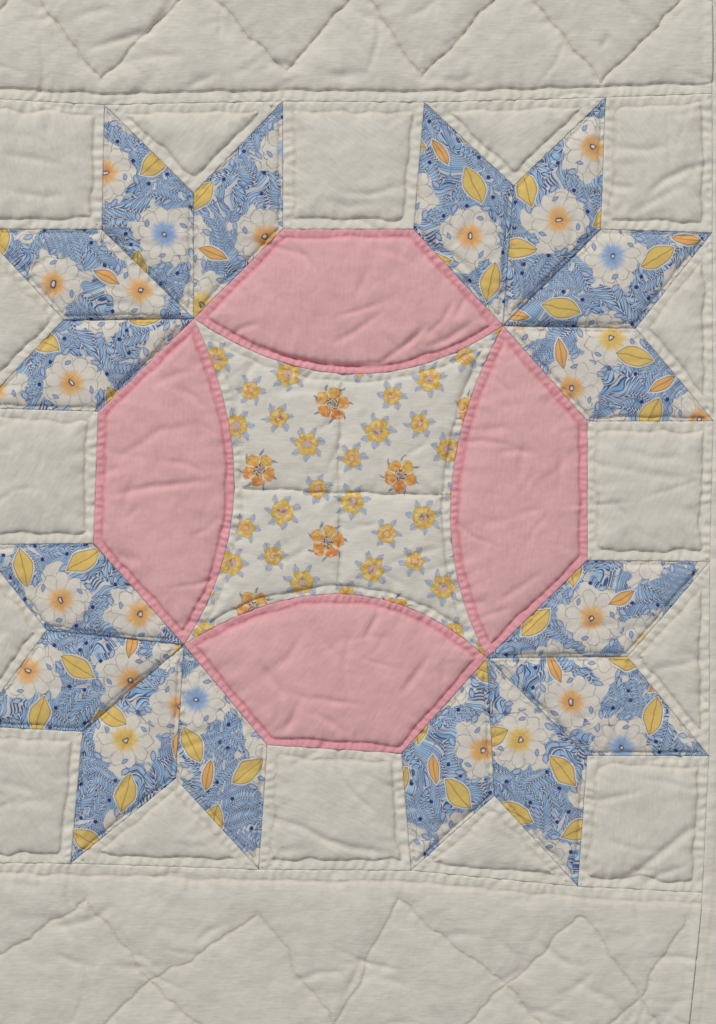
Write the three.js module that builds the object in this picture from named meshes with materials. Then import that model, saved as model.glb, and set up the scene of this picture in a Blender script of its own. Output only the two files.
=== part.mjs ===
// A cut length of quilted patchwork, folded in three like a letter with the patchwork outside.
// Millimetres, +Z up. X runs across the folds, Y along them. The underside lies flat at z = 0 and
// the origin is the middle of the footprint. One body: top, wadding and backing are stitched through.
import * as THREE from "three";

// The folded size.
const WIDTH = 340;
const LENGTH = 465;

// The quilt sandwich: full height between seams, flattened by the stitching, thin at its knife edge.
const LAYER = 6.5;
const EDGE_THICKNESS = 2.6;
const EDGE_TAPER = 9;
const LAYER_GAP = 1;
const STACK = 3 * LAYER + 2 * LAYER_GAP;
const SEAM_DEPTH = 2.5;
const SEAM_SOFTNESS = 5;
const QUILTING_DEPTH = 2.2;
const QUILTING_SOFTNESS = 3;

// The wide left fold goes round all three layers, the tight right fold round two.
const LEFT_RADIUS = STACK / 2;
const LEFT_FOLD_X = -WIDTH / 2 + LEFT_RADIUS;
const RIGHT_RADIUS = (2 * LAYER + LAYER_GAP) / 2;
const RIGHT_FOLD_X = WIDTH / 2 - RIGHT_RADIUS;
const RIGHT_FOLD_Z = STACK - RIGHT_RADIUS;
const FLAP_UNDERSIDE = LAYER + LAYER_GAP;
const FLAP_END_X = -148;
const UNDER_EDGE_X = 160;

// How unevenly it was folded, at stations along the length: how far each fold and each hidden edge
// draws back from its furthest place, and how much the stack swells at the left and right folds.
const FOLDING = [
  { y: -232.5, left: 2.6, right: 0.6, flap: 5.0, under: 1.5, swellLeft: 0.03, swellRight: 0.02 },
  { y: -170, left: 0.9, right: 0.0, flap: 3.4, under: 3.2, swellLeft: 0.08, swellRight: 0.05 },
  { y: -95, left: 0.0, right: 1.2, flap: 1.2, under: 4.4, swellLeft: 0.1, swellRight: 0.06 },
  { y: -20, left: 1.0, right: 2.2, flap: 0.0, under: 3.6, swellLeft: 0.07, swellRight: 0.09 },
  { y: 60, left: 1.9, right: 1.3, flap: 1.6, under: 1.8, swellLeft: 0.09, swellRight: 0.08 },
  { y: 140, left: 1.1, right: 0.4, flap: 3.8, under: 0.6, swellLeft: 0.11, swellRight: 0.05 },
  { y: 232.5, left: 2.8, right: 1.8, flap: 6.2, under: 2.0, swellLeft: 0.03, swellRight: 0.03 },
];
const FOLD_REACH = 60;

// The hidden layers lie a little askew under the top one and end short of it.
const ASKEW = { under: -1.6, flap: 2.2 };
const SHORTER = { under: 0.99, flap: 0.985 };

// The block's half stars, in millimetres from the middle of the face: where the diamonds meet, the
// inner corners where two patches and a diamond meet, and the outer tips, in order round the star.
const STARS = [
  {
    centre: [-68, 80],
    inner: [[-31, 117], [-68, 132], [-106, 117], [-122, 79.5], [-107.5, 41.5]],
    tips: [[-31, 170], [-105, 168.5], [-158, 117], [-158, 43]],
  },
  {
    centre: [60, 77],
    inner: [[23, 117], [64.5, 135], [100.5, 117], [115, 76], [95, 37.5]],
    tips: [[27.5, 169.5], [102.5, 171.5], [147, 115.5], [148, 37.5]],
  },
  {
    centre: [53.5, -60.5],
    inner: [[95, -20], [111.5, -60], [95, -101], [56.5, -117.5], [18, -100]],
    tips: [[147, -20.5], [146, -101], [91, -155], [22, -148.5]],
  },
  {
    centre: [-72, -55],
    inner: [[-37.5, -96.5], [-75.5, -110.5], [-114, -91], [-129, -49], [-109.5, -13]],
    tips: [[-41, -148], [-119, -145.5], [-158, -88.5], [-158, -13.5]],
  },
];

// The outer corners of the block, where its seams meet the borders.
const BLOCK_CORNERS = [[-158, 171], [147, 173], [142.5, -157.5], [-158, -145]];

// The curved seams between the melon patches and the middle one: how far each bows inwards.
const MELON_BOW = [21.5, 18.5, 24, 19];

// The borders' quilting: a line beside each border seam, and zigzags across the border.
const BESIDE_SEAM = 4.6;
const ZIGZAG_TOP = [[-160, 196], [-140, 219.5], [-106, 179], [-66, 219.5], [-30, 182], [1, 218], [26, 180],
  [65, 220], [101, 178], [141, 219], [152, 206]];
const ZIGZAG_LOW = [[-152, -186], [-112, -160.5], [-85.5, -194.5], [-40, -166.5], [-9, -213], [16, -160.5],
  [61.5, -195.5], [92, -166.5], [116.5, -200.5], [136, -168]];

// How finely the patched face is stepped: offsets from each seam across a narrow or a wide patch.
const WIDE_STEPS = [0, 0.09, 0.24, 0.5, 0.76, 0.91];
const NARROW_STEPS = [0, 0.12, 0.36, 0.64, 0.88];
const WIDE_PATCH = 45;
const PATCH_COLUMNS = [-158, -107, -68, -31, 25, 60, 98, 147];
const PATCH_ROWS = [-148, -100, -58, -17, 39.5, 79, 117, 170];
const END_ROWS = [0, 2.6, 7, 14];
const ARC_STEPS = 10;
const HIDDEN_STEPS = 2;
const BACK_STEPS = 4;
const FOLD_STEPS = { left: 8, right: 6, insideLeft: 4, insideRight: 3 };
const END_BORDER_ROWS = { low: [-209, -197, -184, -172, -160, -153], top: [170, 175.5, 184, 195, 206] };

/** Points of the curved seam from one star's middle to the next, bowed towards the block's middle. */
function bowedSeam(start, end, bow) {
  const points = [];
  const middle = [(start[0] + end[0]) / 2, (start[1] + end[1]) / 2];
  const distance = Math.hypot(middle[0], middle[1]);
  const inward = [-middle[0] / distance, -middle[1] / distance];
  for (let i = 0; i <= ARC_STEPS; i += 1) {
    const t = i / ARC_STEPS;
    const lift = bow * 4 * t * (1 - t);
    points.push([
      start[0] + (end[0] - start[0]) * t + inward[0] * lift,
      start[1] + (end[1] - start[1]) * t + inward[1] * lift,
    ]);
  }
  return points;
}

/** Every seam of the patched face, as lines of points. */
function seamLines() {
  const lines = [];
  STARS.forEach((star, s) => {
    star.inner.forEach((corner) => lines.push([star.centre, corner]));
    star.tips.forEach((tip, i) => lines.push([star.inner[i], tip, star.inner[i + 1]]));
    const next = STARS[(s + 1) % STARS.length];
    lines.push(bowedSeam(star.centre, next.centre, MELON_BOW[s]));
  });
  const [upperLeft, upperRight, lowerRight, lowerLeft] = STARS;
  lines.push([upperLeft.inner[0], upperRight.inner[0]]);
  lines.push([upperRight.inner[4], lowerRight.inner[0]]);
  lines.push([lowerRight.inner[4], lowerLeft.inner[0]]);
  lines.push([lowerLeft.inner[4], upperLeft.inner[4]]);
  lines.push([BLOCK_CORNERS[0], upperLeft.tips[1], upperLeft.tips[0], upperRight.tips[0],
    upperRight.tips[1], BLOCK_CORNERS[1]]);
  lines.push([BLOCK_CORNERS[1], upperRight.tips[2], upperRight.tips[3], lowerRight.tips[0],
    lowerRight.tips[1], BLOCK_CORNERS[2]]);
  lines.push([BLOCK_CORNERS[2], lowerRight.tips[2], lowerRight.tips[3], lowerLeft.tips[0],
    lowerLeft.tips[1], BLOCK_CORNERS[3]]);
  return lines;
}

/** The lines that are only quilted: the cross in the middle patch and the borders' lines. */
function quiltingLines() {
  const [topLeft, topRight, lowRight, lowLeft] = BLOCK_CORNERS;
  return [
    [[-51, 10], [37, 7]],
    [[-7, 57], [-8, -34]],
    [[topLeft[0], topLeft[1] + BESIDE_SEAM], [topRight[0], topRight[1] + BESIDE_SEAM]],
    [[topRight[0] + BESIDE_SEAM, topRight[1]], [lowRight[0] + BESIDE_SEAM, lowRight[1]]],
    [[lowRight[0], lowRight[1] - BESIDE_SEAM], [lowLeft[0], lowLeft[1] - BESIDE_SEAM]],
    ZIGZAG_TOP,
    ZIGZAG_LOW,
  ];
}

/** Shortest distance from (x, y) to any of the lines. */
function nearest(lines, x, y) {
  let best = Infinity;
  for (const line of lines) {
    for (let i = 1; i < line.length; i += 1) {
      const [ax, ay] = line[i - 1];
      const dx = line[i][0] - ax;
      const dy = line[i][1] - ay;
      const along = ((x - ax) * dx + (y - ay) * dy) / (dx * dx + dy * dy);
      const t = THREE.MathUtils.clamp(along, 0, 1);
      best = Math.min(best, Math.hypot(x - ax - t * dx, y - ay - t * dy));
    }
  }
  return best;
}

const SEAMS = seamLines();
const QUILTING = quiltingLines();

/** How far the stitching draws the patched face down at (x, y). */
function stitchedDown(x, y) {
  const atSeam = SEAM_DEPTH * Math.exp(-((nearest(SEAMS, x, y) / SEAM_SOFTNESS) ** 2));
  const atQuilting = QUILTING_DEPTH * Math.exp(-((nearest(QUILTING, x, y) / QUILTING_SOFTNESS) ** 2));
  return Math.max(atSeam, atQuilting);
}

/** One column of the folding table at y, smoothly between its stations. */
function folding(column, y) {
  let i = 1;
  while (i < FOLDING.length - 1 && y > FOLDING[i].y) i += 1;
  const low = FOLDING[i - 1];
  const high = FOLDING[i];
  const t = THREE.MathUtils.smoothstep(y, low.y, high.y);
  return THREE.MathUtils.lerp(low[column], high[column], t);
}

/** How much thinner the sandwich is at this distance from a free edge. */
function thinning(distance) {
  const t = THREE.MathUtils.clamp(distance / EDGE_TAPER, 0, 1);
  return (LAYER - EDGE_THICKNESS) * (1 - Math.sqrt(1 - (1 - t) ** 2));
}

/** Places along a straight run from a free edge: close together at the edge, then evenly. */
function runFromEdge(edge, end, evenSteps) {
  const towards = Math.sign(end - edge);
  const places = END_ROWS.map((step) => edge + towards * step);
  const last = places[places.length - 1];
  for (let i = 1; i <= evenSteps; i += 1) {
    places.push(last + ((end - last) * i) / evenSteps);
  }
  return places;
}

/** Half a turn round a fold: points with the direction that the patchwork faces there. */
function foldTurn(centre, radius, startAngle, sweep, steps, part) {
  const points = [];
  for (let i = 1; i < steps; i += 1) {
    const angle = startAngle + (sweep * i) / steps;
    const facing = [Math.cos(angle), Math.sin(angle)];
    points.push({ x: centre[0] + radius * facing[0], z: centre[1] + radius * facing[1], facing, part });
  }
  return points;
}

/** Places across the patches between these seams, closer together beside each seam. */
function acrossPatches(seams) {
  const places = [];
  for (let i = 1; i < seams.length; i += 1) {
    const span = seams[i] - seams[i - 1];
    const steps = span > WIDE_PATCH ? WIDE_STEPS : NARROW_STEPS;
    steps.forEach((step) => places.push(seams[i - 1] + step * span));
  }
  return places;
}

/** Places across the patched face from the left fold to the right one. */
function faceColumns() {
  const seam = PATCH_COLUMNS[PATCH_COLUMNS.length - 1];
  const border = [seam, seam + BESIDE_SEAM, (seam + BESIDE_SEAM + RIGHT_FOLD_X) / 2, RIGHT_FOLD_X];
  return [LEFT_FOLD_X, ...acrossPatches(PATCH_COLUMNS), ...border];
}

/** Places along the length: close at the ends, then stepped with the patches. */
function faceRows() {
  const half = LENGTH / 2;
  const lowEnd = END_ROWS.map((step) => step - half);
  const topEnd = END_ROWS.map((step) => half - step).reverse();
  return [...lowEnd, ...END_BORDER_ROWS.low, ...acrossPatches(PATCH_ROWS), ...END_BORDER_ROWS.top, ...topEnd];
}

/**
 * The closed outline of the folded sheet at one place along its length, before it settles: along the
 * patchwork side from the under edge to the flap's end, and back along the backing.
 */
function outlineAt(y) {
  const up = [0, 1];
  const down = [0, -1];
  const underEdge = UNDER_EDGE_X - folding("under", y);
  const flapEnd = FLAP_END_X + folding("flap", y);
  const under = runFromEdge(underEdge, LEFT_FOLD_X, HIDDEN_STEPS);
  const flap = runFromEdge(flapEnd, RIGHT_FOLD_X, HIDDEN_STEPS);
  const point = (x, z, facing, part, edge) => ({ x, z, facing, part, edge });
  const leftCentre = [LEFT_FOLD_X, LEFT_RADIUS];
  const rightCentre = [RIGHT_FOLD_X, RIGHT_FOLD_Z];
  const quarter = Math.PI / 2;
  const outside = [
    ...under.map((x) => point(x, 0, down, "under", Math.abs(x - underEdge))),
    ...foldTurn(leftCentre, LEFT_RADIUS, -quarter, -2 * quarter, FOLD_STEPS.left, "leftFold"),
    ...faceColumns().map((x) => point(x, STACK, up, "face")),
    ...foldTurn(rightCentre, RIGHT_RADIUS, quarter, -2 * quarter, FOLD_STEPS.right, "rightFold"),
    ...flap.slice().reverse().map((x) => point(x, FLAP_UNDERSIDE, down, "flap", Math.abs(x - flapEnd))),
  ];
  const innerLeft = LEFT_RADIUS - LAYER;
  const innerRight = RIGHT_RADIUS - LAYER;
  const faceBack = Array.from({ length: BACK_STEPS + 1 }, (_, i) =>
    THREE.MathUtils.lerp(RIGHT_FOLD_X, LEFT_FOLD_X, i / BACK_STEPS));
  const inside = [
    ...flap.map((x) => point(x, FLAP_UNDERSIDE + LAYER, down, "flap", Math.abs(x - flapEnd))),
    ...foldTurn(rightCentre, innerRight, -quarter, 2 * quarter, FOLD_STEPS.insideRight, "rightFold"),
    ...faceBack.map((x) => point(x, STACK - LAYER, up, "face")),
    ...foldTurn(leftCentre, innerLeft, quarter, 2 * quarter, FOLD_STEPS.insideLeft, "leftFold"),
    ...under.slice().reverse().map((x) => point(x, LAYER, down, "under", Math.abs(x - underEdge))),
  ];
  outside.forEach((p) => { p.patchwork = true; });
  return [...outside, ...inside];
}

/** Thins the sandwich at its edges and draws the patched face down along its stitching. */
function stitch(p, y) {
  const fromEnd = LENGTH / 2 - Math.abs(y);
  const fromEdge = Math.min(fromEnd, p.edge ?? Infinity);
  const lying = p.part === "under";
  const shareOutside = lying ? 0 : 0.5;
  let draw = thinning(fromEdge) * (p.patchwork ? shareOutside : 1 - shareOutside);
  if (p.patchwork && p.part === "face") draw = Math.max(draw, stitchedDown(p.x, y));
  const sign = p.patchwork ? -1 : 1;
  return { ...p, x: p.x + sign * draw * p.facing[0], z: p.z + sign * draw * p.facing[1] };
}

/** Lays a point where the uneven folding leaves it. */
function settle(p, y) {
  const nearLeft = THREE.MathUtils.smoothstep(-p.x, WIDTH / 2 - FOLD_REACH, WIDTH / 2);
  const nearRight = THREE.MathUtils.smoothstep(p.x, WIDTH / 2 - FOLD_REACH, WIDTH / 2);
  const swell = folding("swellLeft", y) * nearLeft + folding("swellRight", y) * nearRight;
  const lie = p.part === "under" || p.part === "flap" ? p.part : null;
  const askew = lie ? ASKEW[lie] : 0;
  const shorter = lie ? SHORTER[lie] : 1;
  const foldX = lie === "flap" ? RIGHT_FOLD_X : LEFT_FOLD_X;
  const turned = THREE.MathUtils.clamp(Math.abs(p.x - foldX) / WIDTH, 0, 1);
  return new THREE.Vector3(
    p.x + folding("left", y) * nearLeft - folding("right", y) * nearRight,
    y * THREE.MathUtils.lerp(1, shorter, turned) + askew * turned,
    p.z * (1 + swell),
  );
}

/** The whole quilt as one closed skin: an outline at each row, joined to the next, with both ends shut. */
function quiltGeometry() {
  const rows = faceRows();
  const rings = rows.map((y) => outlineAt(y).map((p) => stitch(p, y)));
  const count = rings[0].length;
  const positions = [];
  rings.forEach((ring, r) => ring.forEach((p) => positions.push(...settle(p, rows[r]).toArray())));
  const index = [];
  for (let r = 1; r < rings.length; r += 1) {
    for (let i = 0; i < count; i += 1) {
      const a = (r - 1) * count + i;
      const b = (r - 1) * count + ((i + 1) % count);
      index.push(a, b, a + count, b, b + count, a + count);
    }
  }
  const shut = (r, turnOver) => {
    const flat = rings[r].map((p) => new THREE.Vector2(p.x, p.z));
    for (const [a, b, c] of THREE.ShapeUtils.triangulateShape(flat, [])) {
      const corners = turnOver ? [a, c, b] : [a, b, c];
      index.push(...corners.map((i) => r * count + i));
    }
  };
  shut(0, false);
  shut(rings.length - 1, true);
  const geometry = new THREE.BufferGeometry();
  geometry.setAttribute("position", new THREE.Float32BufferAttribute(positions, 3));
  geometry.setIndex(index);
  geometry.computeVertexNormals();
  return geometry;
}

const cotton = new THREE.MeshStandardMaterial({ color: "#d8cfc2", roughness: 0.9, metalness: 0 });
const quilt = new THREE.Mesh(quiltGeometry(), cotton);
quilt.name = "quilt";

const object = new THREE.Group();
object.add(quilt);

export default object;
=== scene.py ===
# %% [markdown]
# # A folded patchwork quilt
# A quilt is a sandwich: a top pieced from cut patches, a thin wadding, and a backing. Running
# stitches go through all three, and each line of them pulls the soft sandwich into a valley, so the
# cloth between two lines stands up as a puff. This lesson cuts the patches one by one, works out
# how high the cloth stands from how far it is to the nearest seam or stitch, and folds it all in
# three like a letter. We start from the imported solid: it gives the folded size.

# %% Load the frame
import math
import bpy
import numpy as np
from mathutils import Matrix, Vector
from mathutils.geometry import delaunay_2d_cdt


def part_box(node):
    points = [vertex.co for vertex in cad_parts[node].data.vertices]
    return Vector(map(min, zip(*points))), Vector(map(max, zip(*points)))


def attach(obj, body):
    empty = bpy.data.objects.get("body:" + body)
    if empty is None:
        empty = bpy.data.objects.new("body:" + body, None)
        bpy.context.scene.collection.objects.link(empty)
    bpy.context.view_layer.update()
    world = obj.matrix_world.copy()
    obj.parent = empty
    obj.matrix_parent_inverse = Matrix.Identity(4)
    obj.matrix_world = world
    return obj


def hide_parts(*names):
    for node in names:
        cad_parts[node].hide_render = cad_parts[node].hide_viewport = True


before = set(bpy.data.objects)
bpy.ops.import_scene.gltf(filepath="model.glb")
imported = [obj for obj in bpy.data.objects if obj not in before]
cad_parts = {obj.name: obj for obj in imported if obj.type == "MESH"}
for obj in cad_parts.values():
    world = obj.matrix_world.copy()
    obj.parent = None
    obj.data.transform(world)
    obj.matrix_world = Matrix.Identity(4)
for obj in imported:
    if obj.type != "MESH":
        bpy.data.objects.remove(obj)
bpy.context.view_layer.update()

MM = 0.001
low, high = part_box("quilt")
WIDTH = (high[0] - low[0]) / MM
LENGTH = (high[1] - low[1]) / MM
print(f"folded size {WIDTH:.1f} by {LENGTH:.1f} by {(high[2] - low[2]) / MM:.1f} mm")

# %% [markdown]
# ## How the cloth is folded
# Everything below is drawn on the flat cloth, in millimetres: u runs across the folds and v along
# them, and h is the height above the patchwork side. One function then lays a point where the fold
# takes it. That is simpler than modelling each layer, because a border strip can be cut flat and
# still run round the fold. The wide fold on the left goes round three layers, the tight one on the
# right round two. A short table says how unevenly it was folded.

# %% Fold sizes and the function that lays the cloth
LAYER = 6.5
LAYER_GAP = 1.0
STACK = 3 * LAYER + 2 * LAYER_GAP
LEFT_RADIUS = STACK / 2
RIGHT_RADIUS = LAYER + LAYER_GAP / 2
LEFT_FOLD = -WIDTH / 2 + LEFT_RADIUS
RIGHT_FOLD = WIDTH / 2 - RIGHT_RADIUS
# Where the under layer and the flap end, as seen from above, and then along the flat cloth.
UNDER_REACH = 160
FLAP_REACH = -148
UNDER_EDGE = LEFT_FOLD - math.pi * LEFT_RADIUS - (UNDER_REACH - LEFT_FOLD)
FLAP_EDGE = RIGHT_FOLD + math.pi * RIGHT_RADIUS + (RIGHT_FOLD - FLAP_REACH)
# How far in from a fold its swelling still shows.
FOLD_REACH = 60

# y, left set back, right set back, flap set back, under set back, swell left, swell right
FOLDING = np.array([
    [-232.5, 2.6, 0.6, 5.0, 1.5, 0.03, 0.02],
    [-170.0, 0.9, 0.0, 3.4, 3.2, 0.08, 0.05],
    [-95.0, 0.0, 1.2, 1.2, 4.4, 0.10, 0.06],
    [-20.0, 1.0, 2.2, 0.0, 3.6, 0.07, 0.09],
    [60.0, 1.9, 1.3, 1.6, 1.8, 0.09, 0.08],
    [140.0, 1.1, 0.4, 3.8, 0.6, 0.11, 0.05],
    [232.5, 2.8, 1.8, 6.2, 2.0, 0.03, 0.03],
])
FOLDING_COLUMNS = {"left": 1, "right": 2, "flap": 3, "under": 4, "swell_left": 5, "swell_right": 6}
# How far each hidden layer has slipped along the folds, and its length beside the top one's.
ASKEW = {"under": -1.6, "flap": 2.2}
SHORTER = {"under": 0.99, "flap": 0.985}


def smooth(t):
    """From 0 to 1, gently at both ends."""
    t = np.clip(t, 0, 1)
    return t * t * (3 - 2 * t)


def folding(column, v):
    """One column of the folding table at v, smoothly between its stations."""
    stations = FOLDING[:, 0]
    i = np.clip(np.searchsorted(stations, v), 1, len(stations) - 1)
    t = smooth((v - stations[i - 1]) / (stations[i] - stations[i - 1]))
    values = FOLDING[:, FOLDING_COLUMNS[column]]
    return values[i - 1] + (values[i] - values[i - 1]) * t


def lay(u, v, h):
    """Where points of the flat cloth lie once it is folded, in metres."""
    u, v, h = (np.asarray(a, float) for a in np.broadcast_arrays(u, v, h))
    past_left = LEFT_FOLD - u
    past_right = u - RIGHT_FOLD
    left_turn = np.clip(past_left / LEFT_RADIUS, 0, math.pi)
    right_turn = np.clip(past_right / RIGHT_RADIUS, 0, math.pi)
    under = np.maximum(past_left - math.pi * LEFT_RADIUS, 0)
    flap = np.maximum(past_right - math.pi * RIGHT_RADIUS, 0)
    x = np.clip(u, LEFT_FOLD, RIGHT_FOLD) + under - flap
    x = x - np.where(past_left > 0, (LEFT_RADIUS + h) * np.sin(left_turn), 0)
    x = x + np.where(past_right > 0, (RIGHT_RADIUS + h) * np.sin(right_turn), 0)
    z = STACK + h
    z = np.where(past_left > 0, LEFT_RADIUS + (LEFT_RADIUS + h) * np.cos(left_turn), z)
    z = np.where(past_right > 0, STACK - RIGHT_RADIUS + (RIGHT_RADIUS + h) * np.cos(right_turn), z)
    near_left = smooth((-x - WIDTH / 2 + FOLD_REACH) / FOLD_REACH)
    near_right = smooth((x - WIDTH / 2 + FOLD_REACH) / FOLD_REACH)
    swell = folding("swell_left", v) * near_left + folding("swell_right", v) * near_right
    y = v * (1 - (1 - SHORTER["under"]) * under / WIDTH - (1 - SHORTER["flap"]) * flap / WIDTH)
    y = y + ASKEW["under"] * under / WIDTH + ASKEW["flap"] * flap / WIDTH
    x = x + folding("left", v) * near_left - folding("right", v) * near_right
    return np.stack([x, y, z * (1 + swell)], axis=-1) * MM


# %% [markdown]
# ## The block, as a maker would draft it
# The block has four half stars of four diamonds each. A pink melon-shaped patch curves from one
# star's middle to the next, plain white squares and triangles fill the outside, and one flowered
# patch with four hollow sides is left in the middle. Hand piecing is never quite true, so the
# corners are given one by one, in millimetres from the middle of the folded face, with the names
# that tie them together, and every patch is worked out from them.

# %% The corners of the block
# Round each star: the inner corners where two patches meet, and the outer tips between them.
STARS = [
    {
        "centre": (-68, 80),
        "inner": [(-31, 117), (-68, 132), (-106, 117), (-122, 79.5), (-107.5, 41.5)],
        "tips": [(-31, 170), (-105, 168.5), (-158, 117), (-158, 43)],
    },
    {
        "centre": (60, 77),
        "inner": [(23, 117), (64.5, 135), (100.5, 117), (115, 76), (95, 37.5)],
        "tips": [(27.5, 169.5), (102.5, 171.5), (147, 115.5), (148, 37.5)],
    },
    {
        "centre": (53.5, -60.5),
        "inner": [(95, -20), (111.5, -60), (95, -101), (56.5, -117.5), (18, -100)],
        "tips": [(147, -20.5), (146, -101), (91, -155), (22, -148.5)],
    },
    {
        "centre": (-72, -55),
        "inner": [(-37.5, -96.5), (-75.5, -110.5), (-114, -91), (-129, -49), (-109.5, -13)],
        "tips": [(-41, -148), (-119, -145.5), (-158, -88.5), (-158, -13.5)],
    },
]
BLOCK_CORNERS = [(-158, 171), (147, 173), (142.5, -157.5), (-158, -145)]

# Each melon runs from one star to the next. It meets the mid-side square at these inner corners,
# and bows this far towards the middle.
MELONS = [
    {"star": 0, "next": 1, "corner": 0, "next_corner": 0, "bow": 21.5},
    {"star": 1, "next": 2, "corner": 4, "next_corner": 0, "bow": 18.5},
    {"star": 2, "next": 3, "corner": 4, "next_corner": 0, "bow": 24},
    {"star": 3, "next": 0, "corner": 4, "next_corner": 4, "bow": 19},
]
# The tips that the same mid-side square takes from each star.
SIDE_TIPS = [(0, 0), (3, 0), (3, 0), (3, 3)]

HALF = LENGTH / 2
LEFT_SEAM = -158
RIGHT_SEAM = [(148, HALF), (147, 173), (147, 115.5), (148, 37.5), (147, -20.5), (146, -101),
              (142.5, -157.5), (137, -211.5), (136, -HALF)]


def bowed(start, end, bow, steps=40):
    """The curved seam from one star's middle to the next, bowed towards the block's middle."""
    start, end = np.array(start, float), np.array(end, float)
    middle = (start + end) / 2
    inward = -middle / np.hypot(*middle)
    t = np.linspace(0, 1, steps + 1)[:, None]
    return start + (end - start) * t + inward * (bow * 4 * t * (1 - t))


def gather_patches():
    """Every patch of the block: its kind and its outline."""
    patches = []
    for star in STARS:
        inner, tips = star["inner"], star["tips"]
        for i in range(4):
            patches.append(("diamond", [star["centre"], inner[i], tips[i], inner[i + 1]]))
        patches.append(("triangle", [tips[0], tips[1], inner[1]]))
        patches.append(("triangle", [tips[2], tips[3], inner[3]]))
    for star, corner in zip(STARS, BLOCK_CORNERS):
        patches.append(("square", [corner, star["tips"][2], star["inner"][2], star["tips"][1]]))
    arcs = []
    for melon, (tip, next_tip) in zip(MELONS, SIDE_TIPS):
        star, following = STARS[melon["star"]], STARS[melon["next"]]
        corner = star["inner"][melon["corner"]]
        next_corner = following["inner"][melon["next_corner"]]
        arc = bowed(star["centre"], following["centre"], melon["bow"])
        arcs.append(arc)
        patches.append(("melon", [*map(tuple, arc), next_corner, corner]))
        side = [corner, star["tips"][tip], following["tips"][next_tip], next_corner]
        patches.append(("square", side))
    patches.append(("middle", [tuple(p) for arc in arcs for p in arc[:-1]]))
    return patches


patches = gather_patches()
print(len(patches), "patches in the block")

# %% [markdown]
# ## How high the cloth stands
# Only the quilting goes through all three layers, so it is what makes the relief. Each patch is
# quilted a few millimetres inside its own seam. Inside that line the soft sandwich stands up as a
# puff, steep at the stitches and nearly flat on top. Outside it, the narrow strip up to the seam is
# held down between two rows of stitches, so it lies low. Each stitch pulls down and the cloth
# between two stitches bulges, which makes the strip look beaded. Hand piecing puckers the seam in
# the same way. We keep each point's distances to the sewing, because the materials need them too.
#
# Each piece comes with a sewing plan: the seams near it, its lines of stitches, the outlines inside
# which it stands up as a puff, and the spacing of its beads.

# %% Sizes of the quilting
# How far inside its seam each patch is quilted, and how loosely the line was followed.
INSET = {"square": 4.3, "triangle": 4.0, "diamond": 1.7, "melon": 3.3, "middle": 3.3}
LOOSENESS = {"square": 1.5, "triangle": 1.4, "diamond": 0.7, "melon": 0.9, "middle": 1.0}
WANDER = 0.6
SHAKE = 0.24

# The puff: a steep roll at the stitches, then a slower rise to its crown.
ROLL = 2.1
ROLL_HEIGHT = 0.95
CROWN = 1.35
RISE = 6.5
# The low strip between the stitches and the seam, and the crease of the seam itself.
STRIP_RISE = 0.55
STRIP_REACH = 1.2
SEAM_CREASE = 0.14
SEAM_WIDTH = 0.45

# The stitches: one every so far, the pull of each, and the folds that it drags into the puff.
STITCH_PITCH = 4.46
PUCKER = 0.19
PUCKER_REACH = 1.8
DRAG = 0.34
DRAG_REACH = 6
DRAG_START = 1.5
STITCHES_A_DRAG = 2.6
# The beads along a seam, whose spacing is a little smaller in the pink patches.
BEADS = 4.3
PINK_BEADS = 2.95
BEAD_HEIGHT = 1.0
BEAD_REACH = 4
BEADS_IN_PUFF = 0.25

# The low border has been pressed flatter than the rest, from here down.
PRESSED_FLAT = 0.45
PRESSED_FROM = 152
PRESSED_OVER = 16
print(f"{25.4 / STITCH_PITCH:.1f} stitches an inch")

# %% Lines and distances


def densify(outline, spacing, closed=True):
    """The outline with points no further apart than the spacing."""
    corners = np.array(outline, float)
    ends = np.roll(corners, -1, axis=0) if closed else corners[1:]
    points = []
    for a, b in zip(corners, ends):
        steps = max(1, math.ceil(np.hypot(*(b - a)) / spacing))
        points.extend(a + (b - a) * i / steps for i in range(steps))
    if not closed:
        points.append(corners[-1])
    return np.array(points)


def measure(points, lines):
    """The distance from each point to the nearest line, and how far along that line it is."""
    best = np.full(len(points), 1e9)
    along = np.zeros(len(points))
    for line in lines:
        run = 0.0
        for a, b in zip(line[:-1], line[1:]):
            step = b - a
            length = np.hypot(*step)
            if length < 1e-6:
                continue
            t = np.clip(((points - a) @ step) / length ** 2, 0, 1)
            away = np.hypot(*(points - a - t[:, None] * step).T)
            closer = away < best
            best = np.where(closer, away, best)
            along = np.where(closer, run + t * length, along)
            run += length
    return best, along


def closed_line(outline):
    """An outline as a line that ends where it starts."""
    outline = np.array(outline, float)
    return np.vstack([outline, outline[:1]])


def turned_left(outline):
    """The outline's corners, running anticlockwise."""
    corners = np.array(outline, float)
    following = np.roll(corners, -1, axis=0)
    area = np.sum(corners[:, 0] * following[:, 1] - following[:, 0] * corners[:, 1])
    return corners[::-1] if area < 0 else corners


def rolling(points, wavelength, height, seed):
    """A soft unevenness made of a few long waves. The seed picks them, so it is the same each time."""
    rng = np.random.default_rng(seed)
    total = np.zeros(len(points))
    for _ in range(7):
        angle, phase = rng.uniform(0, 2 * math.pi, 2)
        stretch = wavelength * rng.uniform(0.7, 1.6)
        wave = points @ np.array([math.cos(angle), math.sin(angle)])
        total += np.sin(wave * 2 * math.pi / stretch + phase)
    return height * total / 4


# %% Lines sewn by hand


def moved_sideways(line, distance):
    """The middle of each step of a line, moved to its left."""
    step = np.diff(line, axis=0)
    step /= np.hypot(*step.T)[:, None]
    return (line[:-1] + line[1:]) / 2 + np.stack([-step[:, 1], step[:, 0]], axis=1) * distance


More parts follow.
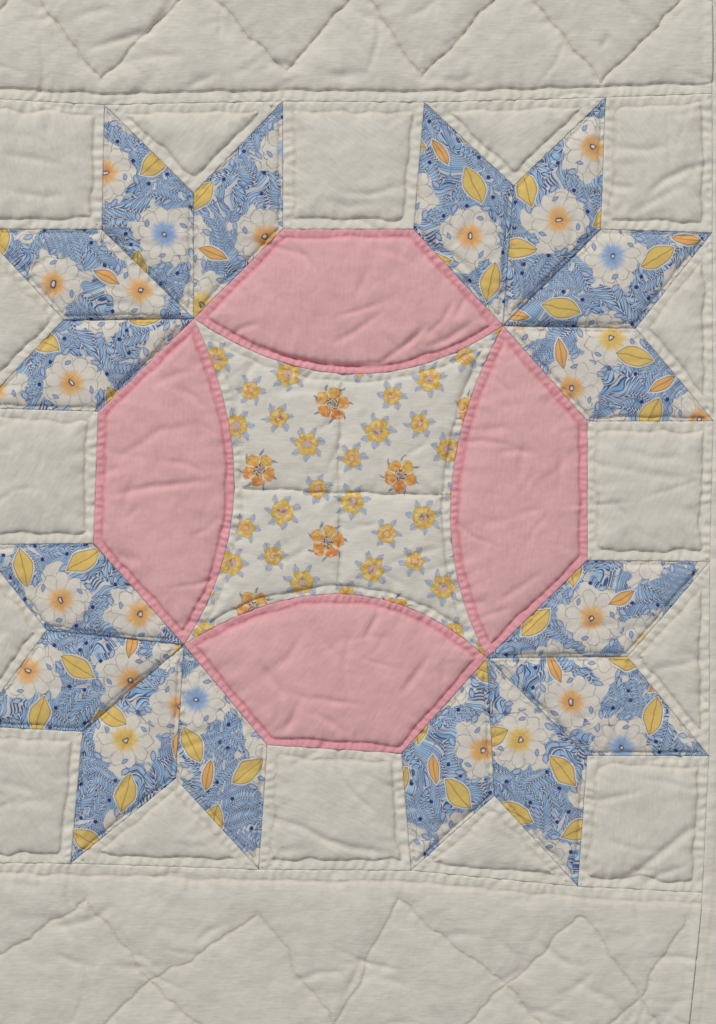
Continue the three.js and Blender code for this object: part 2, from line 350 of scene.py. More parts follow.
def unsteady(points):
    """How far a hand strays from the marked line at each point."""
    strays = [rolling(points, 19, WANDER, seed) + rolling(points, 7, SHAKE, seed + 9)
              for seed in (21, 22)]
    return np.stack(strays, axis=1)


def quilted_inside(outline, inset, looseness):
    """The stitching line a little inside a patch's seam, as uneven as hand sewing."""
    edge = closed_line(densify(turned_left(outline), 1.5))
    moved = moved_sideways(edge, inset)
    # Past a corner the moved line comes too near the other side, and is cut off there.
    away, _ = measure(moved, [edge])
    kept = moved[away > inset * 0.985]
    return closed_line(kept + looseness * unsteady(kept))


def hand_drawn(line, looseness=1.0):
    """A straight-ruled quilting line, as uneven as hand sewing."""
    points = densify(line, 2.0, closed=False)
    return points + looseness * unsteady(points)


# %% Where a point is on the cloth


def from_free_edge(points):
    """How far each point is from the cloth's own cut edges."""
    u, v = points.T
    across = np.minimum(u - UNDER_EDGE - folding("under", v), FLAP_EDGE - folding("flap", v) - u)
    return np.minimum(across, HALF - np.abs(v))


def inside(points, outline):
    """Which points lie inside the outline."""
    x, y = points.T
    result = np.zeros(len(points), bool)
    for (ax, ay), (bx, by) in zip(outline, np.roll(outline, -1, axis=0)):
        if ay != by:
            crosses = ((ay > y) != (by > y)) & (x < (bx - ax) * (y - ay) / (by - ay) + ax)
            result ^= crosses
    return result


# %% Creases
# Depth, width, then the places that the crease runs through, from one fading end to the other.
CREASES = [
    (0.9, 1.3, [(26, 114), (33, 109), (40.5, 105.3), (52, 93.8)]),
    (0.9, 1.6, [(118, 129), (126.8, 137.1), (137, 142), (148, 144)]),
    (0.6, 1.5, [(102, 150.7), (119.8, 149.6), (129, 151.5)]),
    (0.55, 1.4, [(102, 135.8), (114.4, 134)]),
    (0.9, 1.5, [(-36.3, -126.4), (-24, -130), (-11.6, -136.3), (-3.3, -138.8), (15.3, -141.7)]),
    (1.0, 1.7, [(104, -156), (116.5, -147.9), (124.7, -141.7), (137.1, -131.3), (143.3, -128)]),
    (0.6, 1.4, [(116, -156), (124.7, -150), (137, -145.8)]),
    (0.8, 1.2, [(8.3, -41.7), (5.8, -47), (2.9, -52)]),
    (0.8, 1.5, [(29.7, -59), (24, -67), (17.3, -75.6)]),
    (0.6, 1.4, [(-24, -77.6), (-27, -85), (-30.1, -92.1)]),
    (0.5, 1.6, [(-19.8, -81.8), (-11, -87), (-3.3, -92.1)]),
    (0.8, 1.5, [(-106.6, 6.2), (-94.2, 8.3), (-85.9, 10.3), (-60, 13)]),
    (0.5, 1.7, [(-102, 21.5), (-90, 28), (-81.8, 33.9), (-65.3, 35.9)]),
    (0.45, 1.6, [(-85.9, 52.5), (-75, 57), (-65.3, 58.6)]),
    (0.5, 1.4, [(-96.2, -3.3), (-90, 2.9)]),
    (0.5, 1.5, [(-28.1, 112.3), (-22, 105), (-15.7, 97.9)]),
    (0.5, 1.6, [(-1.2, 87.6), (2, 95), (5, 102)]),
    (0.6, 1.4, [(-11.6, 69), (-2, 74), (11.2, 83.4)]),
    (0.9, 1.3, [(17.3, 66.9), (22, 71), (27.7, 76.4)]),
    (0.8, 1.4, [(27.7, 67.7), (38, 71.9), (48.3, 79.3)]),
    (0.6, 1.3, [(40.1, 79.3), (43, 86), (46.3, 91.7)]),
    (0.5, 1.7, [(70.2, 29.7), (68, 22), (66.9, 12)]),
    (0.45, 1.7, [(83.4, 33.9), (84, 20), (82.6, 5)]),
    (1.0, 1.6, [(-112.8, 190.8), (-102.4, 194.1), (-85.9, 199.1), (-79.7, 207.4)]),
    (0.8, 1.4, [(-42.5, 193), (-36.4, 186), (-24, 184.6)]),
    (0.5, 1.6, [(100, 190), (104, 198)]),
    (0.5, 1.6, [(-151.2, 148), (-135, 146), (-120, 143)]),
    (0.4, 1.5, [(-146, 133), (-130, 130), (-121, 131)]),
    (0.5, 1.6, [(104, 5), (109, 0), (112.3, -4)]),
    (0.4, 1.8, [(110.3, 17.3), (125, 15), (141.2, 13.2)]),
    (0.4, 1.6, [(-16, 130), (-4, 126), (10, 128)]),
    (0.45, 1.7, [(-100, -172), (-92, -183), (-80, -189)]),
    (0.45, 1.8, [(52, -172), (66, -184), (70, -199)]),
    # Below the top melon the cloth has sunk in along the stitching.
    (0.9, 1.0, [(-54.9, 76), (-44.6, 68.5), (-24, 62.8), (-3.3, 60.3), (9.1, 61.5), (27.7, 75)]),
    # Where a diamond's allowance is pressed to one side, its seam folds in deeper.
    (1.3, 0.6, [(-110, 121), (-88, 100), (-70, 82)]),
    (1.3, 0.6, [(-126, 79), (-95, 80), (-66, 80)]),
    (1.1, 0.6, [(-112, 38), (-90, 60), (-68, 80)]),
    (1.3, 0.6, [(57, 77), (88, 77), (119, 76)]),
    (0.9, 0.6, [(57, 74), (80, 97), (104, 120)]),
    (1.1, 0.6, [(-118, -95), (-95, -74), (-70, -54)]),
    (0.9, 0.6, [(-133, -48), (-100, -52), (-68, -56)]),
    (0.9, 0.6, [(50, -60), (82, -60), (115, -60)]),
    (0.8, 0.6, [(50, -57), (75, -80), (98, -104)]),
]
LITTLE_CREASES = 420
# All of them are made this much deeper than listed.
CREASING = 1.4


def little_creases():
    """Short shallow creases, scattered over the whole cloth."""
    scatter = np.random.default_rng(4)
    found = []
    for _ in range(LITTLE_CREASES):
        place = scatter.uniform((-158, -228), (168, 228))
        angle = scatter.normal(0.15, 0.8)
        length = scatter.uniform(5, 16)
        run = np.array([math.cos(angle), math.sin(angle)]) * length
        bend = np.array([-run[1], run[0]]) * scatter.uniform(-0.2, 0.2)
        depth, width = scatter.uniform(0.15, 0.55), scatter.uniform(0.8, 1.9)
        found.append((depth, width, [place - run, place + bend, place + run]))
    return found


ALL_CREASES = CREASES + little_creases()
print(len(CREASES), "creases placed by hand,", LITTLE_CREASES, "little ones scattered")


def creased(points):
    """How far the creases draw the cloth down, each fading out at its ends."""
    total = np.zeros(len(points))
    for depth, width, line in ALL_CREASES:
        line = np.array(line, float)
        reach = 3 * width
        near = np.all((points > line.min(axis=0) - reach) & (points < line.max(axis=0) + reach), axis=1)
        if not near.any():
            continue
        away, along = measure(points[near], [line])
        length = np.hypot(*np.diff(line, axis=0).T).sum()
        fading = np.sin(math.pi * np.clip(along / length, 0, 1)) ** 0.7
        total[near] -= CREASING * depth * fading * np.exp(-(away / width) ** 2)
    return total


# %% Heights


def pulled_down(points, away, stitches, uneven):
    """How far the stitches pull the cloth down beside them."""
    reach = np.maximum(PUCKER_REACH * (1 + 0.4 * rolling(points, 17, 1, 9)), 0.8)
    pucker = PUCKER * uneven * np.exp(-away / reach) * np.cos(2 * math.pi * stitches)
    drag = stitches * 2 * math.pi / STITCHES_A_DRAG + 2.5 * rolling(points, 31, 1, 12)
    folds = np.exp(-away / DRAG_REACH) * (1 - np.exp(-away / DRAG_START)) * np.cos(drag)
    return pucker + DRAG * uneven * folds


def beaded(points, away, seam_away, seam_along, in_puff, uneven, beads):
    """The row of small beads in the strip beside a seam, which ends at the seam itself."""
    pillow = 0.5 + 0.5 * np.cos(2 * math.pi * seam_along / beads + 3.2 * rolling(points, 19, 1, 14))
    held = np.where(in_puff, BEADS_IN_PUFF, 1 - np.exp(-away / 0.8)) * np.exp(-seam_away / BEAD_REACH)
    held *= 1 - np.exp(-seam_away / 0.5)
    return BEAD_HEIGHT * uneven * held * (pillow ** 0.8 - 0.45)


def sewn_height(points, seams, lines, puffs, beads):
    """The cloth's height at each point, with what the materials need to know about the sewing."""
    seam_away, seam_along = measure(points, seams)
    away, along = measure(points, lines)
    stitches = along / STITCH_PITCH
    in_puff = np.any([inside(points, puff) for puff in puffs], axis=0)
    roll = 1 - np.clip(away / ROLL, 0, 1)
    puff = ROLL_HEIGHT * (np.sqrt(1 - roll ** 2) - 1) - CROWN * np.exp(-away / RISE)
    strip = STRIP_RISE * (1 - np.exp(-away / STRIP_REACH)) - ROLL_HEIGHT - CROWN
    height = np.where(in_puff, puff, strip)
    # The hand that sewed pulled harder in some places than in others.
    uneven = np.clip(0.85 + rolling(points, 23, 0.45, 5), 0.2, 1.6)
    height -= pulled_down(points, away, stitches, uneven)
    height += beaded(points, away, seam_away, seam_along, in_puff, uneven, beads)
    height -= SEAM_CREASE * np.exp(-(seam_away / SEAM_WIDTH) ** 2)
    height *= 1 - PRESSED_FLAT * smooth((-points[:, 1] - PRESSED_FROM) / PRESSED_OVER)
    height += creased(points)
    # Washed cloth is never quite flat, even where nothing was sewn.
    height += rolling(points, 70, 0.25, 3) + rolling(points * (0.6, 1), 21, 0.16, 4)
    return height, np.stack([away, stitches, seam_away], axis=1)


# %% Free edges and the under layer
# The cloth thins out to its outer edges over a few millimetres. Past the left fold it lies on the
# floor, where its weight presses out most of the relief.
EDGE_HEIGHT = -1.95
EDGE_TAPER = 9
UNDER_START = LEFT_FOLD - math.pi * LEFT_RADIUS
LYING_OVER = 12
PRESSED_OUT = 0.75


def at_free_edge(points, height):
    """Brings the cloth down to its thin turned-in edge, and keeps the under layer flat."""
    t = np.clip(from_free_edge(points) / EDGE_TAPER, 0, 1)
    edge = EDGE_HEIGHT * (1 - np.sqrt(1 - (1 - t) ** 2))
    lying = smooth((UNDER_START + LYING_OVER - points[:, 0]) / LYING_OVER)
    height = np.minimum(height, edge * (1 - lying) + height * lying)
    return np.minimum(height, 0) * (1 - PRESSED_OUT * lying) + np.maximum(height, 0) * (1 - lying)


# %% [markdown]
# ## Cutting a patch
# A patch could be a stretched square grid, but that bunches up in a sharp tip. A triangulation is
# kinder: points follow the seam and the quilting in close rows, where the cloth bends most, the
# rest is scattered evenly, and Blender joins them into near-equal triangles. Each point is then
# lifted to its height. The rim is turned down at the seam, as a maker presses the allowance under.

# %% Points for a patch
# Spacing of the scatter and of the rows, and how far the rim is turned down at seams and free edges.
FINE = 1.02
ROW_FINE = 0.78
RIM = 0.8
FREE_RIM = 2.1
# Rows of points beside the quilting and inside the seam, and the room each kind keeps from the rim.
ROWS_BESIDE = (-1.15, -0.5, 0.5, 1.15)
ROWS_IN_SEAM = (0.5, 1.2, 2.0)
ROW_CLEAR = 0.3
SCATTER_CLEAR = 1.7


def even_scatter(outline, spacing):
    """Points in even rows over the outline."""
    low_corner, high_corner = outline.min(axis=0), outline.max(axis=0)
    rows = np.arange(low_corner[1], high_corner[1], spacing * math.sqrt(3) / 2)
    points = []
    for i, y in enumerate(rows):
        x = np.arange(low_corner[0] + (i % 2) * spacing / 2, high_corner[0], spacing)
        points.append(np.stack([x, np.full(len(x), y)], axis=1))
    return np.vstack(points)


def thinned(points, spacing=0.33):
    """The points without those that nearly share a place with an earlier one."""
    cells = np.round(points / spacing).astype(int)
    _, first = np.unique(cells, axis=0, return_index=True)
    return points[np.sort(first)]


def points_for(edge, lines):
    """Points inside a patch: rows beside its seam and quilting, and an even scatter elsewhere."""
    groups = [(moved_sideways(closed_line(edge), aside), aside * 0.7) for aside in ROWS_IN_SEAM]
    for line in lines:
        dense = densify(line, ROW_FINE, closed=False)
        groups.append((dense, ROW_CLEAR))
        groups.extend((moved_sideways(dense, side), ROW_CLEAR) for side in ROWS_BESIDE)
    scatter = even_scatter(edge, FINE)
    away, _ = measure(scatter, lines)
    groups.append((scatter[away > SCATTER_CLEAR], SCATTER_CLEAR))
    points = np.vstack([g for g, _ in groups])
    clear = np.concatenate([np.full(len(g), c) for g, c in groups])
    keep = inside(points, edge)
    points, clear = points[keep], clear[keep]
    away, _ = measure(points, [closed_line(edge)])
    return thinned(points[away > clear])


# %% From flat points to a raised patch


def add_mesh(name, points, faces):
    """A smooth mesh from its points in metres, riding on the quilt's one body."""
    mesh = bpy.data.meshes.new(name)
    mesh.from_pydata(points.tolist(), [], faces)
    mesh.polygons.foreach_set("use_smooth", np.ones(len(mesh.polygons), bool))
    piece = bpy.data.objects.new(name, mesh)
    bpy.context.scene.collection.objects.link(piece)
    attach(piece, "root")
    return piece


def make_piece(name, flat, faces, rim, height, sewing, cloth, rim_depth=RIM):
    """A piece of cloth from its flat points, faces, rim, heights and sewing, laid where it is folded."""
    under_rim = lay(flat[rim, 0], flat[rim, 1], height[rim] - rim_depth)
    points = np.vstack([lay(flat[:, 0], flat[:, 1], height), under_rim])
    count = len(flat)
    turned = [(rim[i], count + i, count + (i + 1) % len(rim), rim[(i + 1) % len(rim)])
              for i in range(len(rim))]
    piece = add_mesh(name, points, [*faces, *turned])
    for label, values in (("sewing", sewing), ("cloth", cloth)):
        attribute = piece.data.attributes.new(label, "FLOAT_VECTOR", "POINT")
        values = np.vstack([values, values[rim]])
        attribute.data.foreach_set("vector", values.astype(np.float32).ravel())
    return piece


def on_the_bolt(points, origin, turn):
    """Where points lay on the printed cloth before the patch was cut, in millimetres."""
    c, s = math.cos(math.radians(turn)), math.sin(math.radians(turn))
    x, y = (points - np.array(origin)).T
    return np.stack([c * x + s * y, c * y - s * x, np.zeros(len(points))], axis=1)


def cut_patch(name, outline, sewing_plan, origin=(0, 0), turn=0, rim_depth=RIM):
    """One patch, triangulated, raised and puckered."""
    edge = densify(turned_left(outline), ROW_FINE)
    scatter = points_for(edge, sewing_plan[1])
    result = delaunay_2d_cdt([*edge.tolist(), *scatter.tolist()], [], [list(range(len(edge)))], 1, 1e-6)
    flat = np.array([tuple(p) for p in result[0]])
    faces = [tuple(f) for f in result[2]]
    height, sewing = sewn_height(flat, *sewing_plan)
    height = at_free_edge(flat, height)
    cloth = on_the_bolt(flat, origin, turn)
    return make_piece(name, flat, faces, list(range(len(edge))), height, sewing, cloth, rim_depth)


# %% [markdown]
# ## The block's patches
# Each kind of patch is cut from its own cloth. A quilter lays the template where a flower falls
# well, so each diamond is given one flower of the print, the place on the quilt that it lands on,
# and the turn of the cloth. The middle patch has a cross of stitching as well as its outline.

# %% Chart of the blue print, and where each diamond is cut from it
# For each motif: x, y and turn in the repeat, and for a daisy also the colour of its middle.
ORANGE, YELLOW, BLUE = 0.0, 0.5, 1.0
BLUE_REPEAT = (86.0, 78.0)
DAISIES = [(0, 0, 0, ORANGE), (30, -19, 40, BLUE), (-34, 22, 80, YELLOW), (3, 33, 10, ORANGE),
           (-30, -30, 55, ORANGE)]
YELLOW_LEAVES = [(-17, 8, 125), (19, 9, 55), (-12, -17, 200), (40, 24, 20), (22, -36, 95),
                 (-38, -8, 150)]
BUDS = [(24, 28, 60), (-19, -40, 130)]

# For each diamond, round each star in turn: which daisy, where it lands, and the turn of the cloth.
DIAMOND_CUTS = [
    (3, (-38.4, 113.6), 30), (0, (-104.5, 140.4), -14), (4, (-90, 91.7), 200), (0, (-118.5, 53.3), 100),
    (0, (46.3, 114), 60), (3, (97, 150.7), -20), (1, (105.3, 105.7), 114), (2, (104.9, 71.9), 150),
    (4, (96.6, -43.8), 75), (1, (109, -97.5), 160), (2, (66.9, -94.2), 4), (3, (51.6, -98.3), 215),
    (1, (-66.9, -77.6), 20), (2, (-96.2, -94.2), 310), (4, (-94.2, -69.4), 130), (0, (-123, -36.3), 265),
]
MIDDLE_ORIGIN = (-10.6, 44.7)
MIDDLE_TURN = -2.2


def bolt_origin(daisy, landing, turn):
    """The place on the quilt that the print's own origin falls on."""
    x, y = DAISIES[daisy][:2]
    c, s = math.cos(math.radians(turn)), math.sin(math.radians(turn))
    return landing[0] - (c * x - s * y), landing[1] - (s * x + c * y)


# %% Cut every patch of the block
CROSS = [hand_drawn([(-51, 10), (-8, 8), (37, 7)]), hand_drawn([(-7, 57), (-8, -34)])]

rng = np.random.default_rng(11)
quilting, pink_quilting = [], []
pieces = {}
diamond_cuts = iter(DIAMOND_CUTS)
for number, (kind, outline) in enumerate(patches):
    rounded = quilted_inside(outline, INSET[kind], LOOSENESS[kind])
    lines = [rounded, *CROSS] if kind == "middle" else [rounded]
    origin, turn = rng.uniform(-60, 60, 2), rng.uniform(0, 360)
    if kind == "middle":
        origin, turn = MIDDLE_ORIGIN, MIDDLE_TURN
    if kind == "diamond":
        daisy, landing, turn = next(diamond_cuts)
        origin = bolt_origin(daisy, landing, turn)
    seams = [closed_line(densify(outline, FINE))]
    plan = (seams, lines, [rounded], PINK_BEADS if kind == "melon" else BEADS)
    pieces.setdefault(kind, []).append(cut_patch(f"{kind}_{number:02d}", outline, plan, origin, turn))
    (pink_quilting if kind == "melon" else quilting).append(plan)
print({kind: sum(len(p.data.polygons) for p in found) for kind, found in pieces.items()})

# %% [markdown]
# ## Border strips
# The strips along the top and bottom are plain white cloth between the block and the cloth's edge,
# quilted with zigzags, and cut like the patches.

# %% Seams and quilting of the borders
# How far from the seam the first line runs, and how loosely the zigzags were followed.
BESIDE_SEAM = 4.6
TOP_LOOSENESS = 1.8
LOW_LOOSENESS = 2.4
ZIGZAG_TOP = [(-160, 196), (-140, 219.5), (-106, 179), (-66, 219.5), (-30, 182), (1, 218), (26, 180),
              (65, 220), (101, 178), (141, 219), (152, 206)]
ZIGZAG_LOW = [(-152, -186), (-112, -160.5), (-85.5, -194.5), (-40, -166.5), (-9, -213), (16, -160.5),
              (61.5, -195.5), (92, -166.5), (116.5, -200.5), (136, -168)]
ZIGZAG_FOOT = [(-124, -229), (-85.5, -194.5), (-48, -229), (-9, -213), (24, -229), (61.5, -195.5),
               (88, -227), (116.5, -200.5), (134, -226)]

star_tips = [star["tips"] for star in STARS]
top_seam = np.array([BLOCK_CORNERS[0], star_tips[0][1], star_tips[0][0], star_tips[1][0],
                     star_tips[1][1], BLOCK_CORNERS[1]], float)
low_seam = np.array([BLOCK_CORNERS[3], star_tips[3][1], star_tips[3][0], star_tips[2][3],
                     star_tips[2][2], BLOCK_CORNERS[2]], float)
right_seam = np.array(RIGHT_SEAM, float)
left_seam = np.array([(LEFT_SEAM, HALF), (LEFT_SEAM, -HALF)], float)
beside_top = hand_drawn(top_seam + np.array([0, BESIDE_SEAM]))
beside_low = hand_drawn(low_seam - np.array([0, BESIDE_SEAM]))
beside_right = hand_drawn(right_seam + np.array([BESIDE_SEAM, 0]))
beside_left = hand_drawn(left_seam - np.array([BESIDE_SEAM, 0]))
border_seams = [top_seam, low_seam, right_seam, left_seam]
top_lines = [beside_top, hand_drawn(ZIGZAG_TOP, TOP_LOOSENESS)]
low_lines = [beside_low, hand_drawn(ZIGZAG_LOW, LOW_LOOSENESS), hand_drawn(ZIGZAG_FOOT, LOW_LOOSENESS)]
print(sum(len(line) for line in top_lines + low_lines), "points along the quilting of two borders")

# %% Cut the top and bottom strips
# All the cloth beyond its first line stands up as one puff, however far it goes.
FAR = 900
above_top = [np.vstack([beside_top, [(FAR, FAR), (-FAR, FAR)]])]
below_low = [np.vstack([beside_low, [(FAR, -FAR), (-FAR, -FAR)]])]
top_plan = (border_seams, top_lines, above_top, BEADS)
low_plan = (border_seams, low_lines, below_low, BEADS)
top_strip = cut_patch("top_border", [*map(tuple, top_seam), RIGHT_SEAM[0], (LEFT_SEAM, HALF)], top_plan,
                      rim_depth=FREE_RIM)
low_strip = cut_patch("bottom_border", [*map(tuple, low_seam), *RIGHT_SEAM[-2:], (LEFT_SEAM, -HALF)],
                      low_plan, rim_depth=FREE_RIM)
print("borders", len(top_strip.data.polygons), len(low_strip.data.polygons))

# %% [markdown]
# The side strips run on round the folds and are cut wide enough to reach the hidden edges of the
# cloth. They are nearly straight, so a grid is enough, its columns close together by the seam and
# round the fold, and far apart on the hidden layers.

# %% Cut the side strips


def spaced(marks):
    """Places from a start and a list of (end, spacing) stretches."""
    places = [marks[0]]
    for end, spacing in marks[1:]:
        steps = max(1, round(abs(end - places[-1]) / spacing))
        places.extend(np.linspace(places[-1], end, steps + 1)[1:])
    return np.array(places)


def cut_strip(name, offsets, rows, place, sewing_plan):
    """A strip as a grid: place(share, v) gives the flat point at a share of the strip's width."""
    s, t = np.meshgrid(offsets / offsets[-1], rows)
    flat = place(s.ravel(), t.ravel())
    columns, count = len(offsets), len(rows)
    faces = [(r * columns + c, r * columns + c + 1, (r + 1) * columns + c + 1, (r + 1) * columns + c)
             for r in range(count - 1) for c in range(columns - 1)]
    rim = [*range(columns), *((r + 1) * columns - 1 for r in range(1, count)),
           *((count - 1) * columns + c for c in range(columns - 2, -1, -1)),
           *(r * columns for r in range(count - 2, 0, -1))]
    height, sewing = sewn_height(flat, *sewing_plan)
    height = at_free_edge(flat, height)
    return make_piece(name, flat, faces, rim, height, sewing, on_the_bolt(flat, (0, 0), 0), FREE_RIM)


def right_strip_at(share, v):
    """The flat point between the right seam, at 0, and the flap's own edge, at 1."""
    start = np.interp(v, right_seam[::-1, 1], right_seam[::-1, 0])
    end = FLAP_EDGE - folding("flap", v)
    return np.stack([start + (end - start) * share, v], axis=1)


def left_strip_at(share, v):
    """The flat point between the left seam, at 0, and the under layer's edge, at 1."""
    end = UNDER_EDGE + folding("under", v)
    return np.stack([LEFT_SEAM + (end - LEFT_SEAM) * share, v], axis=1)


# Just past the half turn of each fold, where a line of quilting runs along it.
LEFT_TURNED = LEFT_FOLD - 36
RIGHT_TURNED = RIGHT_FOLD + 24

rows = spaced([-HALF, (HALF, 1.6)])
right_offsets = spaced([0.0, (1, 0.5), (8, 0.7), (50, 1.3), (FLAP_EDGE - RIGHT_SEAM[0][0], 4.5)])
left_offsets = spaced([0.0, (1, 0.5), (8, 0.7), (42, 1.3), (LEFT_SEAM - UNDER_EDGE, 4.5)])
right_lines = [beside_right, hand_drawn([(RIGHT_TURNED, HALF), (RIGHT_TURNED, -HALF)])]
left_lines = [beside_left, hand_drawn([(LEFT_TURNED, HALF), (LEFT_TURNED, -HALF)])]
beyond_right = [np.vstack([beside_right, [(FAR, -FAR), (FAR, FAR)]])]
beyond_left = [np.vstack([beside_left, [(-FAR, -FAR), (-FAR, FAR)]])]
right_plan = ([right_seam], right_lines, beyond_right, BEADS)
left_plan = ([left_seam], left_lines, beyond_left, BEADS)
right_strip = cut_strip("right_border", right_offsets, rows, right_strip_at, right_plan)
left_strip = cut_strip("left_border", left_offsets, rows[::-1], left_strip_at, left_plan)
print("side strips", len(right_strip.data.polygons), len(left_strip.data.polygons))

# %% [markdown]
# ## Wadding and backing
# Behind the patches lies the wadding with its backing, one soft sheet that runs through both
# folds. It is a closed skin: an outline across the folds, carried along them.

# %% The sheet behind the patches
# Its upper side lies below the patches' valleys, and close under the plain hidden layer.
WADDING_TOP = -4.1
WADDING_TOP_LYING = -1.2


def backing_sheet():
    """The wadding and backing as one closed sheet."""
    across = spaced([UNDER_EDGE, (LEFT_TURNED, 5), (LEFT_FOLD + 4, 1.8), (RIGHT_FOLD - 4, 5),
                     (RIGHT_TURNED, 1.4), (FLAP_EDGE, 5)])
    along = spaced([-HALF, (-HALF + 12, 1.5), (HALF - 12, 5), (HALF, 1.5)])
    count = len(across)
    rings = []
    for v in along:
        start, end = UNDER_EDGE + folding("under", v), FLAP_EDGE - folding("flap", v)
        u = start + (across - UNDER_EDGE) * (end - start) / (FLAP_EDGE - UNDER_EDGE)
        t = np.clip(np.minimum(np.minimum(u - start, end - u), HALF - abs(v)) / EDGE_TAPER, 0, 1)
        thin = 1 - np.sqrt(1 - (1 - t) ** 2)
        lying = smooth((UNDER_START + LYING_OVER - u) / LYING_OVER)
        top = WADDING_TOP * (1 - lying) + WADDING_TOP_LYING * lying
        back = -LAYER - EDGE_HEIGHT * thin * (1 + lying)
        rings.append(np.vstack([lay(u, v, top), lay(u[::-1], v, back[::-1])]))
    ring = 2 * count
    faces = [(r * ring + i, r * ring + (i + 1) % ring, (r + 1) * ring + (i + 1) % ring,
              (r + 1) * ring + i) for r in range(len(along) - 1) for i in range(ring)]
    for r in (0, len(along) - 1):
        for i in range(count - 1):
            face = (r * ring + i, r * ring + ring - 1 - i, r * ring + ring - 2 - i, r * ring + i + 1)
            faces.append(face if r == 0 else face[::-1])
    return add_mesh("wadding_and_backing", np.vstack(rings), faces)


backing = backing_sheet()
print("backing", len(backing.data.polygons), "faces")

# %% [markdown]
# ## Quilting thread
# A running stitch shows as short dashes, because the thread is as long below the cloth as above
# it. Each dash is a small bent tube whose ends dive into the cloth.

# %% Sew the quilting
# The thread's radius, then where along each dash its rings are and how high above the cloth.
THREAD_RADIUS = 0.17
DASH_PLACES = np.array([-1.1, -0.7, 0.0, 0.7, 1.1])
DASH_HEIGHTS = np.array([-0.5, -0.06, 0.03, -0.06, -0.5])
THREAD_SIDES = 5


def dashes_along(line):
    """Flat points for each dash along a line, and the direction that it runs in."""
    run = np.concatenate([[0], np.cumsum(np.hypot(*np.diff(line, axis=0).T))])
    # The first and the last dash keep clear of the line's ends.
    centres = np.arange(1, run[-1] / STITCH_PITCH - 0.4) * STITCH_PITCH
    places = (centres[:, None] + DASH_PLACES).ravel()
    flat = np.stack([np.interp(places, run, line[:, 0]), np.interp(places, run, line[:, 1])], axis=1)
    flat = flat.reshape(-1, len(DASH_PLACES), 2)
    direction = flat[:, -1] - flat[:, 0]
    direction /= np.maximum(np.hypot(*direction.T), 1e-6)[:, None]
    return flat.reshape(-1, 2), np.repeat(direction, len(DASH_PLACES), axis=0)


def sew_thread(name, plans):
    """Running stitches along every line, as one mesh of small bent tubes."""
    flats, directions, heights = [], [], []
    for plan in plans:
        for line in plan[1]:
            flat, direction = dashes_along(line)
            height = at_free_edge(flat, sewn_height(flat, *plan)[0])
            flats.append(flat)
            directions.append(direction)
            heights.append(height + np.tile(DASH_HEIGHTS, len(flat) // len(DASH_HEIGHTS)))
    flat, direction, height = np.vstack(flats), np.vstack(directions), np.concatenate(heights)
    side = np.stack([-direction[:, 1], direction[:, 0]], axis=1)
    angles = [2 * math.pi * k / THREAD_SIDES for k in range(THREAD_SIDES)]
    rings = [lay(*(flat + side * (THREAD_RADIUS * math.cos(a))).T, height + THREAD_RADIUS * math.sin(a))
             for a in angles]
    points = np.stack(rings, axis=1).reshape(-1, 3)
    faces = []
    for first in range(0, len(points), THREAD_SIDES * len(DASH_PLACES)):
        last = first + (len(DASH_PLACES) - 1) * THREAD_SIDES
        for ring in range(first, last, THREAD_SIDES):
            for k in range(THREAD_SIDES):
                a, b = ring + k, ring + (k + 1) % THREAD_SIDES
                faces.append((a, b, b + THREAD_SIDES, a + THREAD_SIDES))
        faces.append(tuple(first + k for k in reversed(range(THREAD_SIDES))))
        faces.append(tuple(last + k for k in range(THREAD_SIDES)))
    return add_mesh(name, points, faces)


quilting += [top_plan, low_plan, right_plan, left_plan]
thread = sew_thread("quilting_thread", quilting)
pink_thread = sew_thread("pink_thread", pink_quilting)
print("thread", len(thread.data.polygons) + len(pink_thread.data.polygons), "faces")

# %% [markdown]
# ## Helpers for the materials
# Cotton takes ink and dye evenly and has no shine, so every cloth here is a matt surface whose
# colour does the work. Colours are written as they look on a screen, in hex, and Blender wants
# linear light, so one function turns them. Another adds a node with its settings and links. A
# third lays inks over each other, as a printer does, and most of what follows is masks for it.
# The last one starts a new material.

# %% Helpers


def linear(hex_colour):
    """An sRGB hex colour as linear RGBA."""
    channels = [int(hex_colour[i:i + 2], 16) / 255 for i in (1, 3, 5)]
    return (*(c / 12.92 if c <= 0.04045 else ((c + 0.055) / 1.055) ** 2.4 for c in channels), 1.0)


def add(tree, kind, inputs=None, **settings):
    """One shader node, with its settings and what is linked to or set on its inputs."""
    node = tree.nodes.new("ShaderNode" + kind)
    for key, value in settings.items():
        setattr(node, key, value)
    for key, value in (inputs or {}).items():
        socket = node.inputs[key]
        if isinstance(value, bpy.types.Node):
            value = value.outputs[0]
        if isinstance(value, bpy.types.NodeSocket):
            tree.links.new(value, socket)
        else:
            socket.default_value = value
    return node


def printed(tree, ground, inks):
    """Lays inks, hex colours or nodes, over the ground one by one, each where its mask is 1."""
    colour = linear(ground) if isinstance(ground, str) else ground
    for mask, ink in inks:
        ink = linear(ink) if isinstance(ink, str) else ink
        colour = add(tree, "Mix", {0: mask, 6: colour, 7: ink}, data_type="RGBA").outputs[2]
    return colour


def new_finish(name, roughness):
    """A new material, its node tree and its shader."""
    material = bpy.data.materials.new(name)
    material.use_nodes = True
    shader = material.node_tree.nodes["Principled BSDF"]
    shader.inputs["Roughness"].default_value = roughness
    return material, material.node_tree, shader
